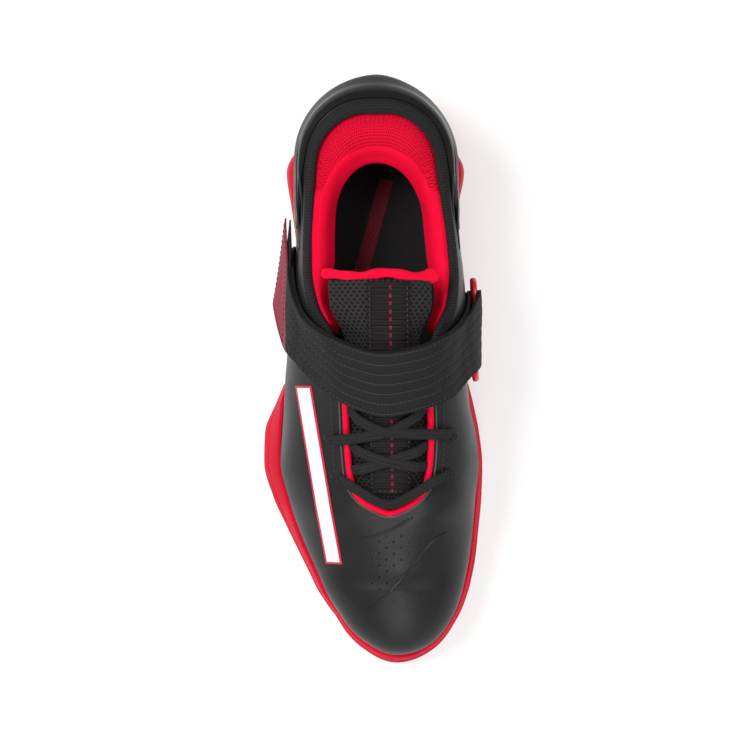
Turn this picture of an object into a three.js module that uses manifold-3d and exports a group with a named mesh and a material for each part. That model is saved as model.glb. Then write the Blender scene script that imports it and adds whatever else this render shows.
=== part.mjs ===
// Right weightlifting shoe with a raised hard heel, a folded instep strap and flat laces.
// Millimetres, +Z up. The toe points along -Y, the medial side is +X and the shoe stands on z = 0.
import * as THREE from "three";
import { mergeVertices } from "three/addons/utils/BufferGeometryUtils.js";
import Module from "manifold-3d";

const wasm = await Module();
wasm.setup();

const { lerp, clamp, smoothstep } = THREE.MathUtils;
const V = (x, y, z) => new THREE.Vector3(x, y, z);

// Overall sizes
const LENGTH = 299; // toe of the sole to the back of the heel counter
const BALL_WIDTH = 113; // widest line of the sole
const UPPER_HEIGHT = 85; // feather line to the top of the instep
const HEEL_STACK = 33; // ground to the feather line under the heel
const FOREFOOT_STACK = 13.5; // ground to the feather line under the ball
const TOE_SPRING = 6; // lift of the underside at the toe
const WAIST_RISE = 1.2; // lift of the underside at the waist

// Walls, layers and clearances
const WALL = 2;
const CLEAR = 0.3;
const FEATHER_INSET = 3.5; // the feather line lies this far inside the widest line
const OUTSOLE = 4.2;
const INSOLE = 3.6;
const LIP = 1.6; // wall of the sole's lip round the upper
const COUNTER = 1.5;
const PAD_SIDE = 13.5; // collar padding at the ankle
const PAD_HEEL_DEPTH = 30; // collar padding's inner edge behind the ankle line
const TONGUE = 5;
const TONGUE_HALF_WIDTH = 25.5; // at its top
const TONGUE_NECK = 18.8; // half width where it passes between the ends of the collar padding
const BINDING_RADIUS = 2.8;
const TAPE_WIDTH = 20.5;
const TAPE = 0.9;
const PIPING_RADIUS = 1.5;
const LACE_WIDTH = 5.6;
const LACE = 1.2;
const STRAP = 1.6;
const RING_RADIUS = 1.7;
const ANCHOR = 1.2;

// The last: sections from the toe tip round to the heel tip. Along runs from the toe's pivot to the
// heel's, turn is the angle of the section's two arms. Other columns are shares of BALL_WIDTH, as
// reaches from the ridge line. Rim is the wall's upper turn, where the throat and collar are cut.
const SECTION_COLUMNS = [
  "along", "turn", "ridge",
  "lateralBelly", "lateralRim", "lateralSole", "medialBelly", "medialRim", "medialSole",
];
const SECTIONS = [
  [0.0, -90, 0.111, 0.305, 0, 0.349, 0.305, 0, 0.349],
  [0.0, -60, 0.111, 0.283, 0, 0.323, 0.3, 0, 0.332],
  [0.0, -30, 0.111, 0.279, 0, 0.31, 0.287, 0, 0.312],
  [0.0, -12, 0.111, 0.299, 0, 0.337, 0.292, 0, 0.318],
  [0.0, 0, 0.111, 0.326, 0, 0.373, 0.303, 0, 0.332],
  [0.066, 0, 0.102, 0.372, 0, 0.425, 0.337, 0, 0.366],
  [0.141, 0, 0.093, 0.422, 0.04, 0.485, 0.364, 0.04, 0.39],
  [0.216, 0, 0.088, 0.463, 0.164, 0.544, 0.381, 0.164, 0.408],
  [0.296, 0, 0.086, 0.496, 0.19, 0.583, 0.398, 0.199, 0.414],
  [0.371, 0, 0.083, 0.488, 0.195, 0.576, 0.387, 0.209, 0.402],
  [0.446, 0, 0.079, 0.471, 0.195, 0.517, 0.362, 0.209, 0.377],
  [0.516, 0, 0.072, 0.457, 0.195, 0.458, 0.359, 0.209, 0.352],
  [0.596, 0, 0.066, 0.435, 0.23, 0.423, 0.363, 0.237, 0.335],
  [0.671, 0, 0.061, 0.412, 0.297, 0.403, 0.367, 0.303, 0.329],
  [0.751, 0, 0.054, 0.391, 0.322, 0.395, 0.363, 0.325, 0.329],
  [0.826, 0, 0.048, 0.377, 0.319, 0.398, 0.35, 0.319, 0.332],
  [0.911, 0, 0.041, 0.362, 0.302, 0.412, 0.335, 0.302, 0.348],
  [1.0, 0, 0.034, 0.335, 0.28, 0.428, 0.326, 0.283, 0.383],
  [1.0, 20, 0.034, 0.34, 0.268, 0.385, 0.323, 0.272, 0.353],
  [1.0, 40, 0.034, 0.351, 0.256, 0.378, 0.33, 0.26, 0.354],
  [1.0, 65, 0.034, 0.374, 0.243, 0.385, 0.358, 0.246, 0.373],
  [1.0, 90, 0.034, 0.395, 0.229, 0.394, 0.395, 0.229, 0.394],
];

// Heights along the shoe. Place is a share of LENGTH from mid-length, stack runs from the forefoot
// stack to the heel stack, belly, top and crown are shares of UPPER_HEIGHT above the feather line,
// lean is the wall's angle from upright at its top edge, in degrees.
const HEIGHT_COLUMNS = ["place", "stack", "belly", "top", "crown", "lean"];
const HEIGHTS = [
  [-0.5, 0, 0.075, 0.453, 0.453, 90],
  [-0.368, 0, 0.14, 0.453, 0.453, 90],
  [-0.301, 0, 0.155, 0.54, 0.54, 90],
  [-0.244, 0.01, 0.165, 0.62, 0.62, 88],
  [-0.187, 0.05, 0.17, 0.665, 0.735, 70],
  [-0.104, 0.18, 0.165, 0.741, 0.82, 58],
  [-0.033, 0.32, 0.18, 0.808, 0.906, 50],
  [0.04, 0.46, 0.205, 0.87, 0.985, 40],
  [0.1, 0.59, 0.21, 0.8, 1.045, 30],
  [0.167, 0.74, 0.21, 0.69, 1.07, 22],
  [0.251, 0.88, 0.215, 0.59, 0.87, 26],
  [0.34, 1.0, 0.215, 0.62, 0.83, 48],
  [0.425, 1.0, 0.22, 0.735, 0.78, 66],
  [0.5, 1.0, 0.22, 0.735, 0.735, 66],
];

const BELLY_V = 0.25; // share of the wall's profile below its widest line
const ARC_V = 0.5; // profile length of the instep arc over the throat
const FULL_RIM = 0.16 * BALL_WIDTH; // a narrower rim has a shorter arc over it
const TOE_SLOPE = 0.33; // fall of the ridge line at the toe's pivot
const TOE_REACH = SECTIONS[0][5] * BALL_WIDTH;
const HEEL_REACH = SECTIONS.at(-1)[3] * BALL_WIDTH + CLEAR + COUNTER;
const TOE_Y = -LENGTH / 2 + TOE_REACH;
const HEEL_Y = LENGTH / 2 - HEEL_REACH;
const MIDDLE = HEEL_Y - TOE_Y;
const FAN_RADIUS = 0.35 * BALL_WIDTH; // turns a section's angle into travel round the last
const FAN = (FAN_RADIUS * Math.PI) / 2;
const TRAVEL = FAN + MIDDLE + FAN;
const SPRING_Y = -0.334 * LENGTH; // the underside starts to lift here
const THROAT_Y = -0.243 * LENGTH; // toe end of the throat
const THROAT_ARC = 0.0555 * LENGTH; // depth of the throat's round end

// Cubic through rows that never overshoots them.
function smooth(xs, ys, flatEnds = false) {
  const last = xs.length - 1;
  const rise = xs.slice(1).map((x, i) => (ys[i + 1] - ys[i]) / (x - xs[i]));
  const slope = xs.map((_, i) => {
    if (i === 0) return flatEnds ? 0 : rise[0];
    if (i === last) return flatEnds ? 0 : rise[last - 1];
    const [a, b] = [rise[i - 1], rise[i]];
    return a * b <= 0 ? 0 : (2 * a * b) / (a + b);
  });
  return (x) => {
    if (x <= xs[0]) return ys[0];
    if (x >= xs[last]) return ys[last];
    let i = 0;
    while (x > xs[i + 1]) i += 1;
    const h = xs[i + 1] - xs[i];
    const t = (x - xs[i]) / h;
    const keep = 2 * t ** 3 - 3 * t ** 2 + 1;
    const out = t ** 3 - 2 * t ** 2 + t;
    const into = t ** 3 - t ** 2;
    return keep * ys[i] + (1 - keep) * ys[i + 1] + h * (out * slope[i] + into * slope[i + 1]);
  };
}

// One smooth function for each column of a table.
function columns(names, rows, key, flatEnds = false) {
  const xs = rows.map(key);
  return Object.fromEntries(
    names.map((name, i) => [name, smooth(xs, rows.map((row) => row[i]), flatEnds)]),
  );
}

const travelOf = ([along, turn]) => FAN + along * MIDDLE + (turn / 90) * FAN;
const section = columns(SECTION_COLUMNS, SECTIONS, travelOf, true);
const height = columns(HEIGHT_COLUMNS, HEIGHTS, (row) => row[0] * LENGTH);

const spring = (y) => (TOE_SPRING * Math.max(0, SPRING_Y - y)) / (SPRING_Y + LENGTH / 2);
const waist = (y) => smoothstep(y, -0.1 * LENGTH, 0) * (1 - smoothstep(y, 0.06 * LENGTH, 0.15 * LENGTH));
const ground = (y) => spring(y) + WAIST_RISE * waist(y);
const feather = (y) => spring(y) + lerp(FOREFOOT_STACK, HEEL_STACK, height.stack(y));
const above = (y, name) => feather(y) + UPPER_HEIGHT * height[name](y);

// How far the throat is open at y: 0 ahead of its round end, 1 behind it
function throatShare(y) {
  const share = y < THROAT_Y + 1e-6 ? 0 : Math.min(1, (y - THROAT_Y) / THROAT_ARC);
  return Math.sqrt(1 - (1 - share) ** 2);
}

// Place on the loop: 0 at the toe tip, up the lateral side, TRAVEL at the heel tip, back medially.
function place(q) {
  const lap = 2 * TRAVEL;
  const loop = ((q % lap) + lap) % lap;
  const side = loop <= TRAVEL ? -1 : 1;
  const s = side < 0 ? loop : lap - loop;
  const turn = ((Math.min(0, s - FAN) + Math.max(0, s - FAN - MIDDLE)) / FAN) * 90;
  const along = clamp((s - FAN) / MIDDLE, 0, 1);
  const name = side < 0 ? "lateral" : "medial";
  const angle = THREE.MathUtils.degToRad(turn);
  const y = TOE_Y + along * MIDDLE;
  const open = throatShare(y);
  return {
    side,
    s,
    turn,
    x: section.ridge(s) * BALL_WIDTH,
    y,
    dx: side * Math.cos(angle),
    dy: Math.sin(angle),
    open,
    belly: section[`${name}Belly`](s) * BALL_WIDTH,
    rim: section[`${name}Rim`](s) * BALL_WIDTH,
    sole: section[`${name}Sole`](s) * BALL_WIDTH,
  };
}

const at = (p, r, z) => V(p.x + p.dx * r, p.y + p.dy * r, z);
const loopAt = (y, side) => {
  const s = FAN + clamp(y - TOE_Y, 0, MIDDLE);
  return side < 0 ? s : 2 * TRAVEL - s;
};
const bezier = (t, a, b, c, d) =>
  a * (1 - t) ** 3 + 3 * b * t * (1 - t) ** 2 + 3 * c * t ** 2 * (1 - t) + d * t ** 3;

// Point of the last: v is 0 on the feather line, BELLY_V on the widest line, 1 on the top edge and
// 1 + ARC_V on the ridge line over the throat. Ahead of the throat the top edge is the ridge line.
function bare(q, v) {
  const p = place(q);
  const foot = p.belly - FEATHER_INSET;
  const low = feather(p.y + p.dy * foot);
  const mid = above(p.y + p.dy * p.belly, "belly");
  const rimY = p.y + p.dy * p.rim;
  const top = above(rimY, "top");
  const lean = THREE.MathUtils.degToRad(height.lean(rimY));
  if (v <= BELLY_V) {
    const t = v / BELLY_V;
    const r = bezier(t, foot, p.belly - FEATHER_INSET / 3, p.belly, p.belly);
    return at(p, r, bezier(t, low, lerp(low, mid, 0.15), lerp(low, mid, 0.55), mid));
  }
  const slope = p.turn < 0 ? TOE_SLOPE * p.dy : 0;
  const arc = ARC_V * Math.min(1, p.rim / FULL_RIM);
  const edge = 1 + arc * (1 - p.open);
  const girth =
    v <= 1 ? lerp(BELLY_V, edge, (v - BELLY_V) / (1 - BELLY_V)) : lerp(edge, 1 + arc, (v - 1) / ARC_V);
  if (girth <= 1) {
    const t = (girth - BELLY_V) / (1 - BELLY_V);
    const reach = 0.4 * Math.hypot(p.belly - p.rim, top - mid);
    const endR = p.rim + reach * Math.sin(lean);
    const endZ = top - reach * Math.cos(lean) + slope * reach;
    const r = bezier(t, p.belly, p.belly, endR, p.rim);
    return at(p, r, bezier(t, mid, lerp(mid, top, 0.5), endZ, top));
  }
  const t = (girth - 1) / arc;
  const crown = Math.max(top, above(p.y, "crown"));
  const rise = Math.min(crown, top + p.rim / 3 / Math.tan(lean));
  return at(p, p.rim * (1 - t), bezier(t, top, rise, crown, crown));
}

// Outward direction of the last's surface.
function normal(q, v) {
  const p = place(q);
  if (v >= (p.open > 0 ? 1 + ARC_V : 1)) {
    const name = p.open > 0 ? "crown" : "top";
    const fall = p.turn < 0 ? TOE_SLOPE : above(p.y + 0.5, name) - above(p.y - 0.5, name);
    return V(0, -fall, 1).normalize();
  }
  const dv = 0.01;
  const [low, high] = v < dv ? [v, v + dv] : v > 1 - dv && v <= 1 ? [v - dv, v] : [v - dv, v];
  const along = bare(q + 0.5, v).sub(bare(q - 0.5, v));
  const up = bare(q, high).sub(bare(q, low));
  return up.cross(along).normalize();
}

// Rows of the wall, shared by all that lies against it
const WALL_ROWS = [0, 0.07, 0.14, 0.25, 0.39, 0.53, 0.67, 0.84, 1];
const rowsBetween = (low, high) => WALL_ROWS.map((v) => clamp(v, low, high));

const skin = (q, v, lift = 0) => bare(q, v).addScaledVector(normal(q, v), lift);

// Point over the last at a place along the shoe: w is -1.5 on the lateral feather line, 0 on the
// ridge and 1.5 on the medial feather line.
const over = (y, w, lift) => skin(loopAt(y, Math.sign(w) || 1), 1 + ARC_V - Math.abs(w), lift);

// Places of the columns round the last
const steps = (from, to, count) =>
  Array.from({ length: count }, (_, i) => lerp(from, to, i / count));
const yTravel = (y) => FAN + (y - TOE_Y);
const THROAT_STEPS = steps(0, Math.PI / 2, 5).map((a) => THROAT_Y + THROAT_ARC * (1 - Math.cos(a)));
const STATIONS = [
  ...steps(0, FAN, 7),
  ...steps(FAN, yTravel(THROAT_Y), 4),
  ...THROAT_STEPS.map(yTravel),
  ...steps(yTravel(THROAT_Y + THROAT_ARC), FAN + MIDDLE, 13),
  ...steps(FAN + MIDDLE, TRAVEL, 8),
  TRAVEL,
];
const LOOP = [...STATIONS, ...STATIONS.slice(1, -1).reverse().map((s) => 2 * TRAVEL - s)];
const stationsFrom = (y) => LOOP.filter((q) => place(q).s >= yTravel(y) - 1e-6);

// Collects triangles and makes one closed mesh of them.
class Faces {
  positions = [];
  triangle(a, b, c) {
    const flat = a.distanceTo(b) < 1e-4 || b.distanceTo(c) < 1e-4 || c.distanceTo(a) < 1e-4;
    if (!flat) this.positions.push(...a, ...b, ...c);
  }
  quad(a, b, c, d) {
    this.triangle(a, b, c);
    this.triangle(a, c, d);
  }
  solid() {
    const geometry = new THREE.BufferGeometry();
    geometry.setAttribute("position", new THREE.Float32BufferAttribute(this.positions, 3));
    const merged = mergeVertices(geometry, 1e-3);
    if (volume(merged) < 0) {
      const index = merged.index.array;
      for (let i = 0; i < index.length; i += 3) [index[i], index[i + 1]] = [index[i + 1], index[i]];
    }
    return merged;
  }
}

function volume(geometry) {
  const p = geometry.attributes.position;
  const index = geometry.index.array;
  const corner = (i) => new THREE.Vector3().fromBufferAttribute(p, index[i]);
  let sum = 0;
  for (let i = 0; i < index.length; i += 3) {
    sum += corner(i).dot(corner(i + 1).cross(corner(i + 2))) / 6;
  }
  return sum;
}

// Solid swept through sections with a face row and a back row of as many points. Where two
// sections are shut, their last points lie on a line that both sides share.
function sweep(sections, closed = false) {
  const faces = new Faces();
  const count = sections.length;
  for (let i = 0; i < (closed ? count : count - 1); i += 1) {
    const a = sections[i];
    const b = sections[(i + 1) % count];
    const last = a.face.length - 1;
    for (let k = 0; k < last; k += 1) {
      faces.quad(a.face[k], a.face[k + 1], b.face[k + 1], b.face[k]);
      faces.quad(a.back[k], b.back[k], b.back[k + 1], a.back[k + 1]);
    }
    faces.quad(a.back[0], a.face[0], b.face[0], b.back[0]);
    if (!(a.shut && b.shut)) faces.quad(a.face[last], a.back[last], b.back[last], b.face[last]);
  }
  if (!closed) {
    const cap = ({ face, back }, flip) => {
      for (let k = 0; k < face.length - 1; k += 1) {
        const ring = [face[k], back[k], back[k + 1], face[k + 1]];
        faces.quad(...(flip ? ring.reverse() : ring));
      }
    };
    cap(sections[0], false);
    cap(sections[count - 1], true);
  }
  return faces.solid();
}

// Solid of stacked rings round the last, closed below and above on the ridge line.
function slab(ringAt, lowZ, highZ) {
  const rings = LOOP.map(ringAt);
  const faces = new Faces();
  LOOP.forEach((q, i) => {
    const next = (i + 1) % LOOP.length;
    const [a, b] = [rings[i], rings[next]];
    for (let k = 0; k < a.length - 1; k += 1) faces.quad(a[k], b[k], b[k + 1], a[k + 1]);
    const [pa, pb] = [place(q), place(LOOP[next])];
    faces.quad(b[0], a[0], at(pa, 0, lowZ(pa.y)), at(pb, 0, lowZ(pb.y)));
    faces.quad(a.at(-1), b.at(-1), at(pb, 0, highZ(pb.y)), at(pa, 0, highZ(pa.y)));
  });
  return faces.solid();
}

// Round bar along a path
function bar(path, radius, closed = false, sides = 8) {
  const sections = path.map((p, i) => {
    const before = path[closed ? (i + path.length - 1) % path.length : Math.max(0, i - 1)];
    const after = path[closed ? (i + 1) % path.length : Math.min(path.length - 1, i + 1)];
    const ahead = after.p.clone().sub(before.p).normalize();
    const out = p.n.clone().addScaledVector(ahead, -p.n.dot(ahead)).normalize();
    const across = ahead.clone().cross(out);
    const spoke = (k) => {
      const a = (2 * Math.PI * k) / sides;
      const side = across.clone().multiplyScalar(Math.cos(a) * radius);
      return side.addScaledVector(out, Math.sin(a) * radius).add(p.p);
    };
    const half = Array.from({ length: sides / 2 + 1 }, (_, k) => k);
    return { face: half.map(spoke), back: half.map((k) => spoke(-k)) };
  });
  return sweep(sections, closed);
}

// Flat ribbon along a path of points with their outward directions
function ribbon(path, width, thickness) {
  const sections = path.map((p, i) => {
    const before = path[Math.max(0, i - 1)];
    const after = path[Math.min(path.length - 1, i + 1)];
    const ahead = after.p.clone().sub(before.p).normalize();
    const across = ahead.clone().cross(p.n).normalize();
    const edge = (side, lift) =>
      p.p.clone().addScaledVector(across, (side * width) / 2).addScaledVector(p.n, lift);
    return {
      face: [edge(-1, thickness / 2), edge(1, thickness / 2)],
      back: [edge(-1, -thickness / 2), edge(1, -thickness / 2)],
    };
  });
  return sweep(sections);
}

function toManifold(geometry) {
  return new wasm.Manifold(
    new wasm.Mesh({
      numProp: 3,
      vertProperties: new Float32Array(geometry.attributes.position.array),
      triVerts: new Uint32Array(geometry.index.array),
    }),
  );
}

function fromManifold(solid) {
  const mesh = solid.getMesh();
  const geometry = new THREE.BufferGeometry();
  geometry.setAttribute("position", new THREE.BufferAttribute(mesh.vertProperties, 3));
  geometry.setIndex(new THREE.BufferAttribute(mesh.triVerts, 1));
  return geometry;
}

function block(sizeX, sizeY, sizeZ, centre, yaw = 0) {
  const geometry = new THREE.BoxGeometry(sizeX, sizeY, sizeZ);
  geometry.deleteAttribute("normal");
  geometry.deleteAttribute("uv");
  geometry.rotateZ(yaw);
  geometry.translate(centre.x, centre.y, centre.z);
  return toManifold(mergeVertices(geometry));
}

// Sole

// The lip is as high as the sole stands out from the upper.
const LIP_FULL = 0.053 * BALL_WIDTH; // stand-out that gives the full lip
const lipV = (p) => 0.9 * BELLY_V * clamp((p.sole - p.belly) / LIP_FULL, 0.12, 1);

const OUTSOLE_BEVEL = 2.2;
function outsole() {
  const ring = (q) => {
    const p = place(q);
    const z = ground(p.y + p.dy * p.sole);
    return [
      at(p, p.sole - OUTSOLE_BEVEL - 0.8, z),
      at(p, p.sole - 0.9, z + OUTSOLE / 3),
      at(p, p.sole - 0.5, z + OUTSOLE),
    ];
  };
  let solid = toManifold(slab(ring, ground, (y) => ground(y) + OUTSOLE));
  for (const cut of treadCuts()) solid = solid.subtract(cut);
  return fromManifold(solid);
}

const GROOVE_WIDTH = 2.6;
const GROOVE_DEPTH = 1.6;
const GROOVE_YAW = 0.16;
const GROOVES = 6; // across the forefoot
const HEEL_GROOVES = 3;
function treadCuts() {
  const groove = (y, yaw) => {
    const centre = V(0, y, ground(y) + GROOVE_DEPTH - GROOVE_WIDTH);
    return block(2 * BALL_WIDTH, GROOVE_WIDTH, 2 * GROOVE_WIDTH, centre, yaw);
  };
  const front = steps(-0.36 * LENGTH, -0.08 * LENGTH, GROOVES).map((y) => groove(y, GROOVE_YAW));
  const back = steps(0.2 * LENGTH, 0.42 * LENGTH, HEEL_GROOVES).map((y) => groove(y, 0));
  return [...front, ...back];
}

// Share of the way up the sole's side and how far the side steps in there
const RIB = 1;
const SIDE_STEPS = [
  [0.3, 0],
  [0.34, RIB],
  [0.52, RIB],
  [0.56, 0],
  [0.72, 0],
  [0.76, RIB],
];
function soleBody(stepped) {
  const ring = (q) => {
    const p = place(q);
    const z = ground(p.y + p.dy * p.sole) + OUTSOLE + CLEAR;
    const lip = lipV(p);
    const foot = p.belly - FEATHER_INSET;
    const low = at(p, p.sole, z + 2);
    const high = skin(q, lip, CLEAR + LIP);
    const side = (stepped ? SIDE_STEPS : [[0.45, 0]]).map(([share, inset]) => {
      const point = low.clone().lerp(high, share);
      return point.add(V(-p.dx * inset, -p.dy * inset, 0));
    });
    return [
      at(p, p.sole - 1, z),
      low,
      ...side,
      high,
      ...rowsBetween(0, lip).slice(0, 4).reverse().map((v) => skin(q, v, CLEAR)),
      at(p, foot - CLEAR, feather(p.y + p.dy * foot) - CLEAR),
    ];
  };
  const low = (y) => ground(y) + OUTSOLE + CLEAR;
  const high = (y) => feather(y) - CLEAR;
  return toManifold(slab(ring, low, high));
}

const SPLIT_Y = -0.02 * LENGTH; // hard heel behind, soft forefoot ahead
const half = (from, to) =>
  block(2 * BALL_WIDTH, to - from, 4 * HEEL_STACK, V(0, (from + to) / 2, HEEL_STACK));
const midsole = () =>
  fromManifold(soleBody(false).intersect(half(-LENGTH, SPLIT_Y - CLEAR / 2)));
const heelWedge = () =>
  fromManifold(soleBody(true).intersect(half(SPLIT_Y + CLEAR / 2, LENGTH)));

const INSOLE_GAP = 1.2; // round the insole's edge
const INSOLE_INSET = FEATHER_INSET + WALL + INSOLE_GAP;
function insole() {
  const edge = (q, lift, inset) => {
    const p = place(q);
    const r = p.belly - inset;
    return at(p, r, feather(p.y + p.dy * r) + lift);
  };
  const ring = (q) => [edge(q, CLEAR, INSOLE_INSET + 0.6), edge(q, CLEAR + INSOLE, INSOLE_INSET)];
  return slab(ring, (y) => feather(y) + CLEAR, (y) => feather(y) + CLEAR + INSOLE);
}

// Upper
function upper() {
  const sections = LOOP.map((q) => ({
    face: WALL_ROWS.map((v) => skin(q, v)),
    back: WALL_ROWS.map((v) => skin(q, v, -WALL)),
    shut: place(q).open === 0,
  }));
  return sweep(sections, true);
}

const COUNTER_LATERAL_Y = 0.235 * LENGTH; // front ends of the heel counter
const COUNTER_TOP = 0.9;
const COUNTER_END = 0.62; // the counter narrows to this height at its front ends
const COUNTER_TAPER = 0.12 * LENGTH;
function heelCounter() {
  const sections = stationsFrom(COUNTER_LATERAL_Y).map((q) => {
    const p = place(q);
    const back = clamp((p.s - yTravel(COUNTER_LATERAL_Y)) / COUNTER_TAPER, 0, 1);
    const low = lipV(p) + 0.03;
    const high = lerp(COUNTER_END, COUNTER_TOP, Math.sqrt(back));
    const rows = [...rowsBetween(low, high - 0.02), high];
    const thin = (v) => (v === high ? COUNTER / 3 : COUNTER);
    return {
      face: rows.map((v) => skin(q, v, CLEAR + thin(v))),
      back: rows.map((v) => skin(q, v, CLEAR)),
    };
  });
  return sweep(sections);
}

// Collar padding: its face lies against the wall, its back is what the ankle touches.
const PAD_START_Y = 0.05 * LENGTH;
const ANKLE_Y = 0.247 * LENGTH; // widest place of the collar's opening
const PAD_LOW_V = 0.42;
const PAD_PROUD = 1.6; // the padding stands this far above the wall's edge
function padEdge(q) {
  const p = place(q);
  const full = smoothstep(p.y, 0.11 * LENGTH, 0.19 * LENGTH);
  if (p.s < yTravel(ANKLE_Y)) return at(p, p.rim - lerp(PAD_SIDE / 2, PAD_SIDE, full), 0);
  const ankle = place(loopAt(ANKLE_Y, p.side));
  const angle = ((p.s - yTravel(ANKLE_Y)) / (TRAVEL - yTravel(ANKLE_Y))) * (Math.PI / 2);
  const reach = (ankle.rim - PAD_SIDE) * Math.cos(angle);
  return V(lerp(ankle.x, p.x, angle / 2) + p.side * reach, ANKLE_Y + PAD_HEEL_DEPTH * Math.sin(angle), 0);
}
function collarPadding() {
  const wallLift = -(WALL + CLEAR);
  const sections = stationsFrom(PAD_START_Y).map((q) => {
    const wall = rowsBetween(PAD_LOW_V, 1).slice(4).map((v) => skin(q, v, wallLift));
    const rim = wall.at(-1);
    const edge = padEdge(q);
    const crest = rim.clone().lerp(V(edge.x, edge.y, rim.z), 0.22);
    crest.z += PAD_PROUD;
    const low = wall[0];
    const inner = V(edge.x, edge.y, lerp(low.z, rim.z, 0.42));
    const below = low.clone().lerp(V(edge.x, edge.y, low.z), 0.35);
    const bow = (a, b, t, z) => {
      const point = a.clone().lerp(b, t);
      return V(point.x, point.y, lerp(a.z, b.z, z));
    };
    return {
      face: [...wall, rim.clone().lerp(crest, 0.5).add(V(0, 0, 0.3))],
      back: [
        below,
        inner,
        bow(inner, crest, 0.12, 0.45),
        bow(inner, crest, 0.38, 0.8),
        bow(inner, crest, 0.72, 0.98),
        crest,
      ],
    };
  });
  return sweep(sections);
}

// Piping along the throat's edges and round its toe end
const PIPING_END_Y = 0.035 * LENGTH;
function throatPiping() {
  const lateral = LOOP.filter((q) => {
    const p = place(q);
    return p.side < 0 && p.y > THROAT_Y - 1e-6 && p.y < PIPING_END_Y;
  });
  const medial = lateral.slice(1).map((q) => 2 * TRAVEL - q);
  const inset = PIPING_RADIUS + 2 * CLEAR;
  const path = [...lateral.slice(1).reverse(), lateral[0], ...medial].map((q) => {
    const p = place(q);
    const edge = skin(q, 1, -WALL / 2);
    const ahead = 1 - p.open;
    const inward = bare(q, 1).sub(bare(q, 0.97)).normalize().multiplyScalar(p.open);
    const back = inward.add(V(0, ahead, ahead / 3)).normalize();
    return { p: edge.addScaledVector(back, inset), n: normal(q, 1) };
  });
  return bar(path, PIPING_RADIUS);
}

// Tongue
const TONGUE_TOP_Y = 0.15 * LENGTH;
const TONGUE_TUCK = 0.16; // share of the wall's profile that overlaps the tongue's edges
const TONGUE_FREE_Y = -0.02 * LENGTH; // above this the tongue stands free of the wall
const TONGUE_SINK = WALL / 2 + PIPING_RADIUS + 2 * CLEAR; // it passes under the piping and the wall
const TONGUE_DROP = 9; // its edges lie this far below its middle where it is free
const TONGUE_DIP = 0.4; // its middle lies this far below the last's crown
function tongueRow(y, drop) {
  const free = smoothstep(y, TONGUE_FREE_Y, TONGUE_FREE_Y + 0.05 * LENGTH);
  const spine = place(loopAt(y, -1)).x;
  const reach = lerp(TONGUE_NECK, TONGUE_HALF_WIDTH, smoothstep(y, 0.05 * LENGTH, 0.115 * LENGTH));
  const middle = lerp(TONGUE_SINK, TONGUE_DIP, smoothstep(y, THROAT_Y, THROAT_Y + 1.4 * THROAT_ARC));
  const row = [-1, -0.93, -0.85, -0.62, -0.32, 0, 0.32, 0.62, 0.85, 0.93, 1];
  return row.map((t) => {
    const share = Math.abs(t);
    const outer = 0.85;
    const w = share <= outer ? (share / outer) * ARC_V : ARC_V + ((share - outer) / (1 - outer)) * TONGUE_TUCK;
    const sink = lerp(middle, TONGUE_SINK, smoothstep(w / ARC_V, 0.3, 0.8));
    const tucked = over(y, t < 0 ? -w : w, -sink - drop);
    const crown = above(y, "crown") - TONGUE_DIP - drop;
    const loose = V(spine + t * reach, y, crown - TONGUE_DROP * share ** 2.4);
    return tucked.lerp(loose, free);
  });
}
const TONGUE_LOW_Y = THROAT_Y + 0.016 * LENGTH;
const TONGUE_PLACES = [...steps(TONGUE_LOW_Y, 0, 8), ...steps(0, TONGUE_TOP_Y, 6), TONGUE_TOP_Y];
function tongue() {
  const sections = TONGUE_PLACES.map((y) => {
    const thickness = lerp(0.6 * TONGUE, TONGUE, smoothstep(y, THROAT_Y, 0));
    return { face: tongueRow(y, 0), back: tongueRow(y, thickness) };
  });
  return sweep(sections);
}
function tongueBinding() {
  const row = tongueRow(TONGUE_TOP_Y, TONGUE / 2);
  const path = row.map((p) => ({
    p: p.add(V(0, BINDING_RADIUS + CLEAR, 0)),
    n: V(0, 0, 1),
  }));
  return bar(path, BINDING_RADIUS);
}
const TAPE_X = 0.0965 * BALL_WIDTH; // the tape runs straight, a little medial of the ridge line
const TAPE_END = 2; // it stops this far below the tongue's top
function tongueTape() {
  const sections = [...TONGUE_PLACES.slice(1, -1), TONGUE_TOP_Y - TAPE_END].map((y) => {
    const row = tongueRow(y, 0);
    const curve = new THREE.CatmullRomCurve3(row.slice(3, 8));
    const points = [-1, -0.5, 0, 0.5, 1].map((t) => {
      const x = TAPE_X + (t * TAPE_WIDTH) / 2;
      let [a, b] = [0, 1];
      for (let i = 0; i < 24; i += 1) {
        const m = (a + b) / 2;
        if (curve.getPoint(m).x < x) a = m;
        else b = m;
      }
      return curve.getPoint(a);
    });
    const raise = (lift) => points.map((p) => p.clone().add(V(0, 0, lift)));
    return { face: raise(CLEAR + TAPE + 0.35), back: raise(CLEAR + 0.35) };
  });
  return sweep(sections);
}

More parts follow.
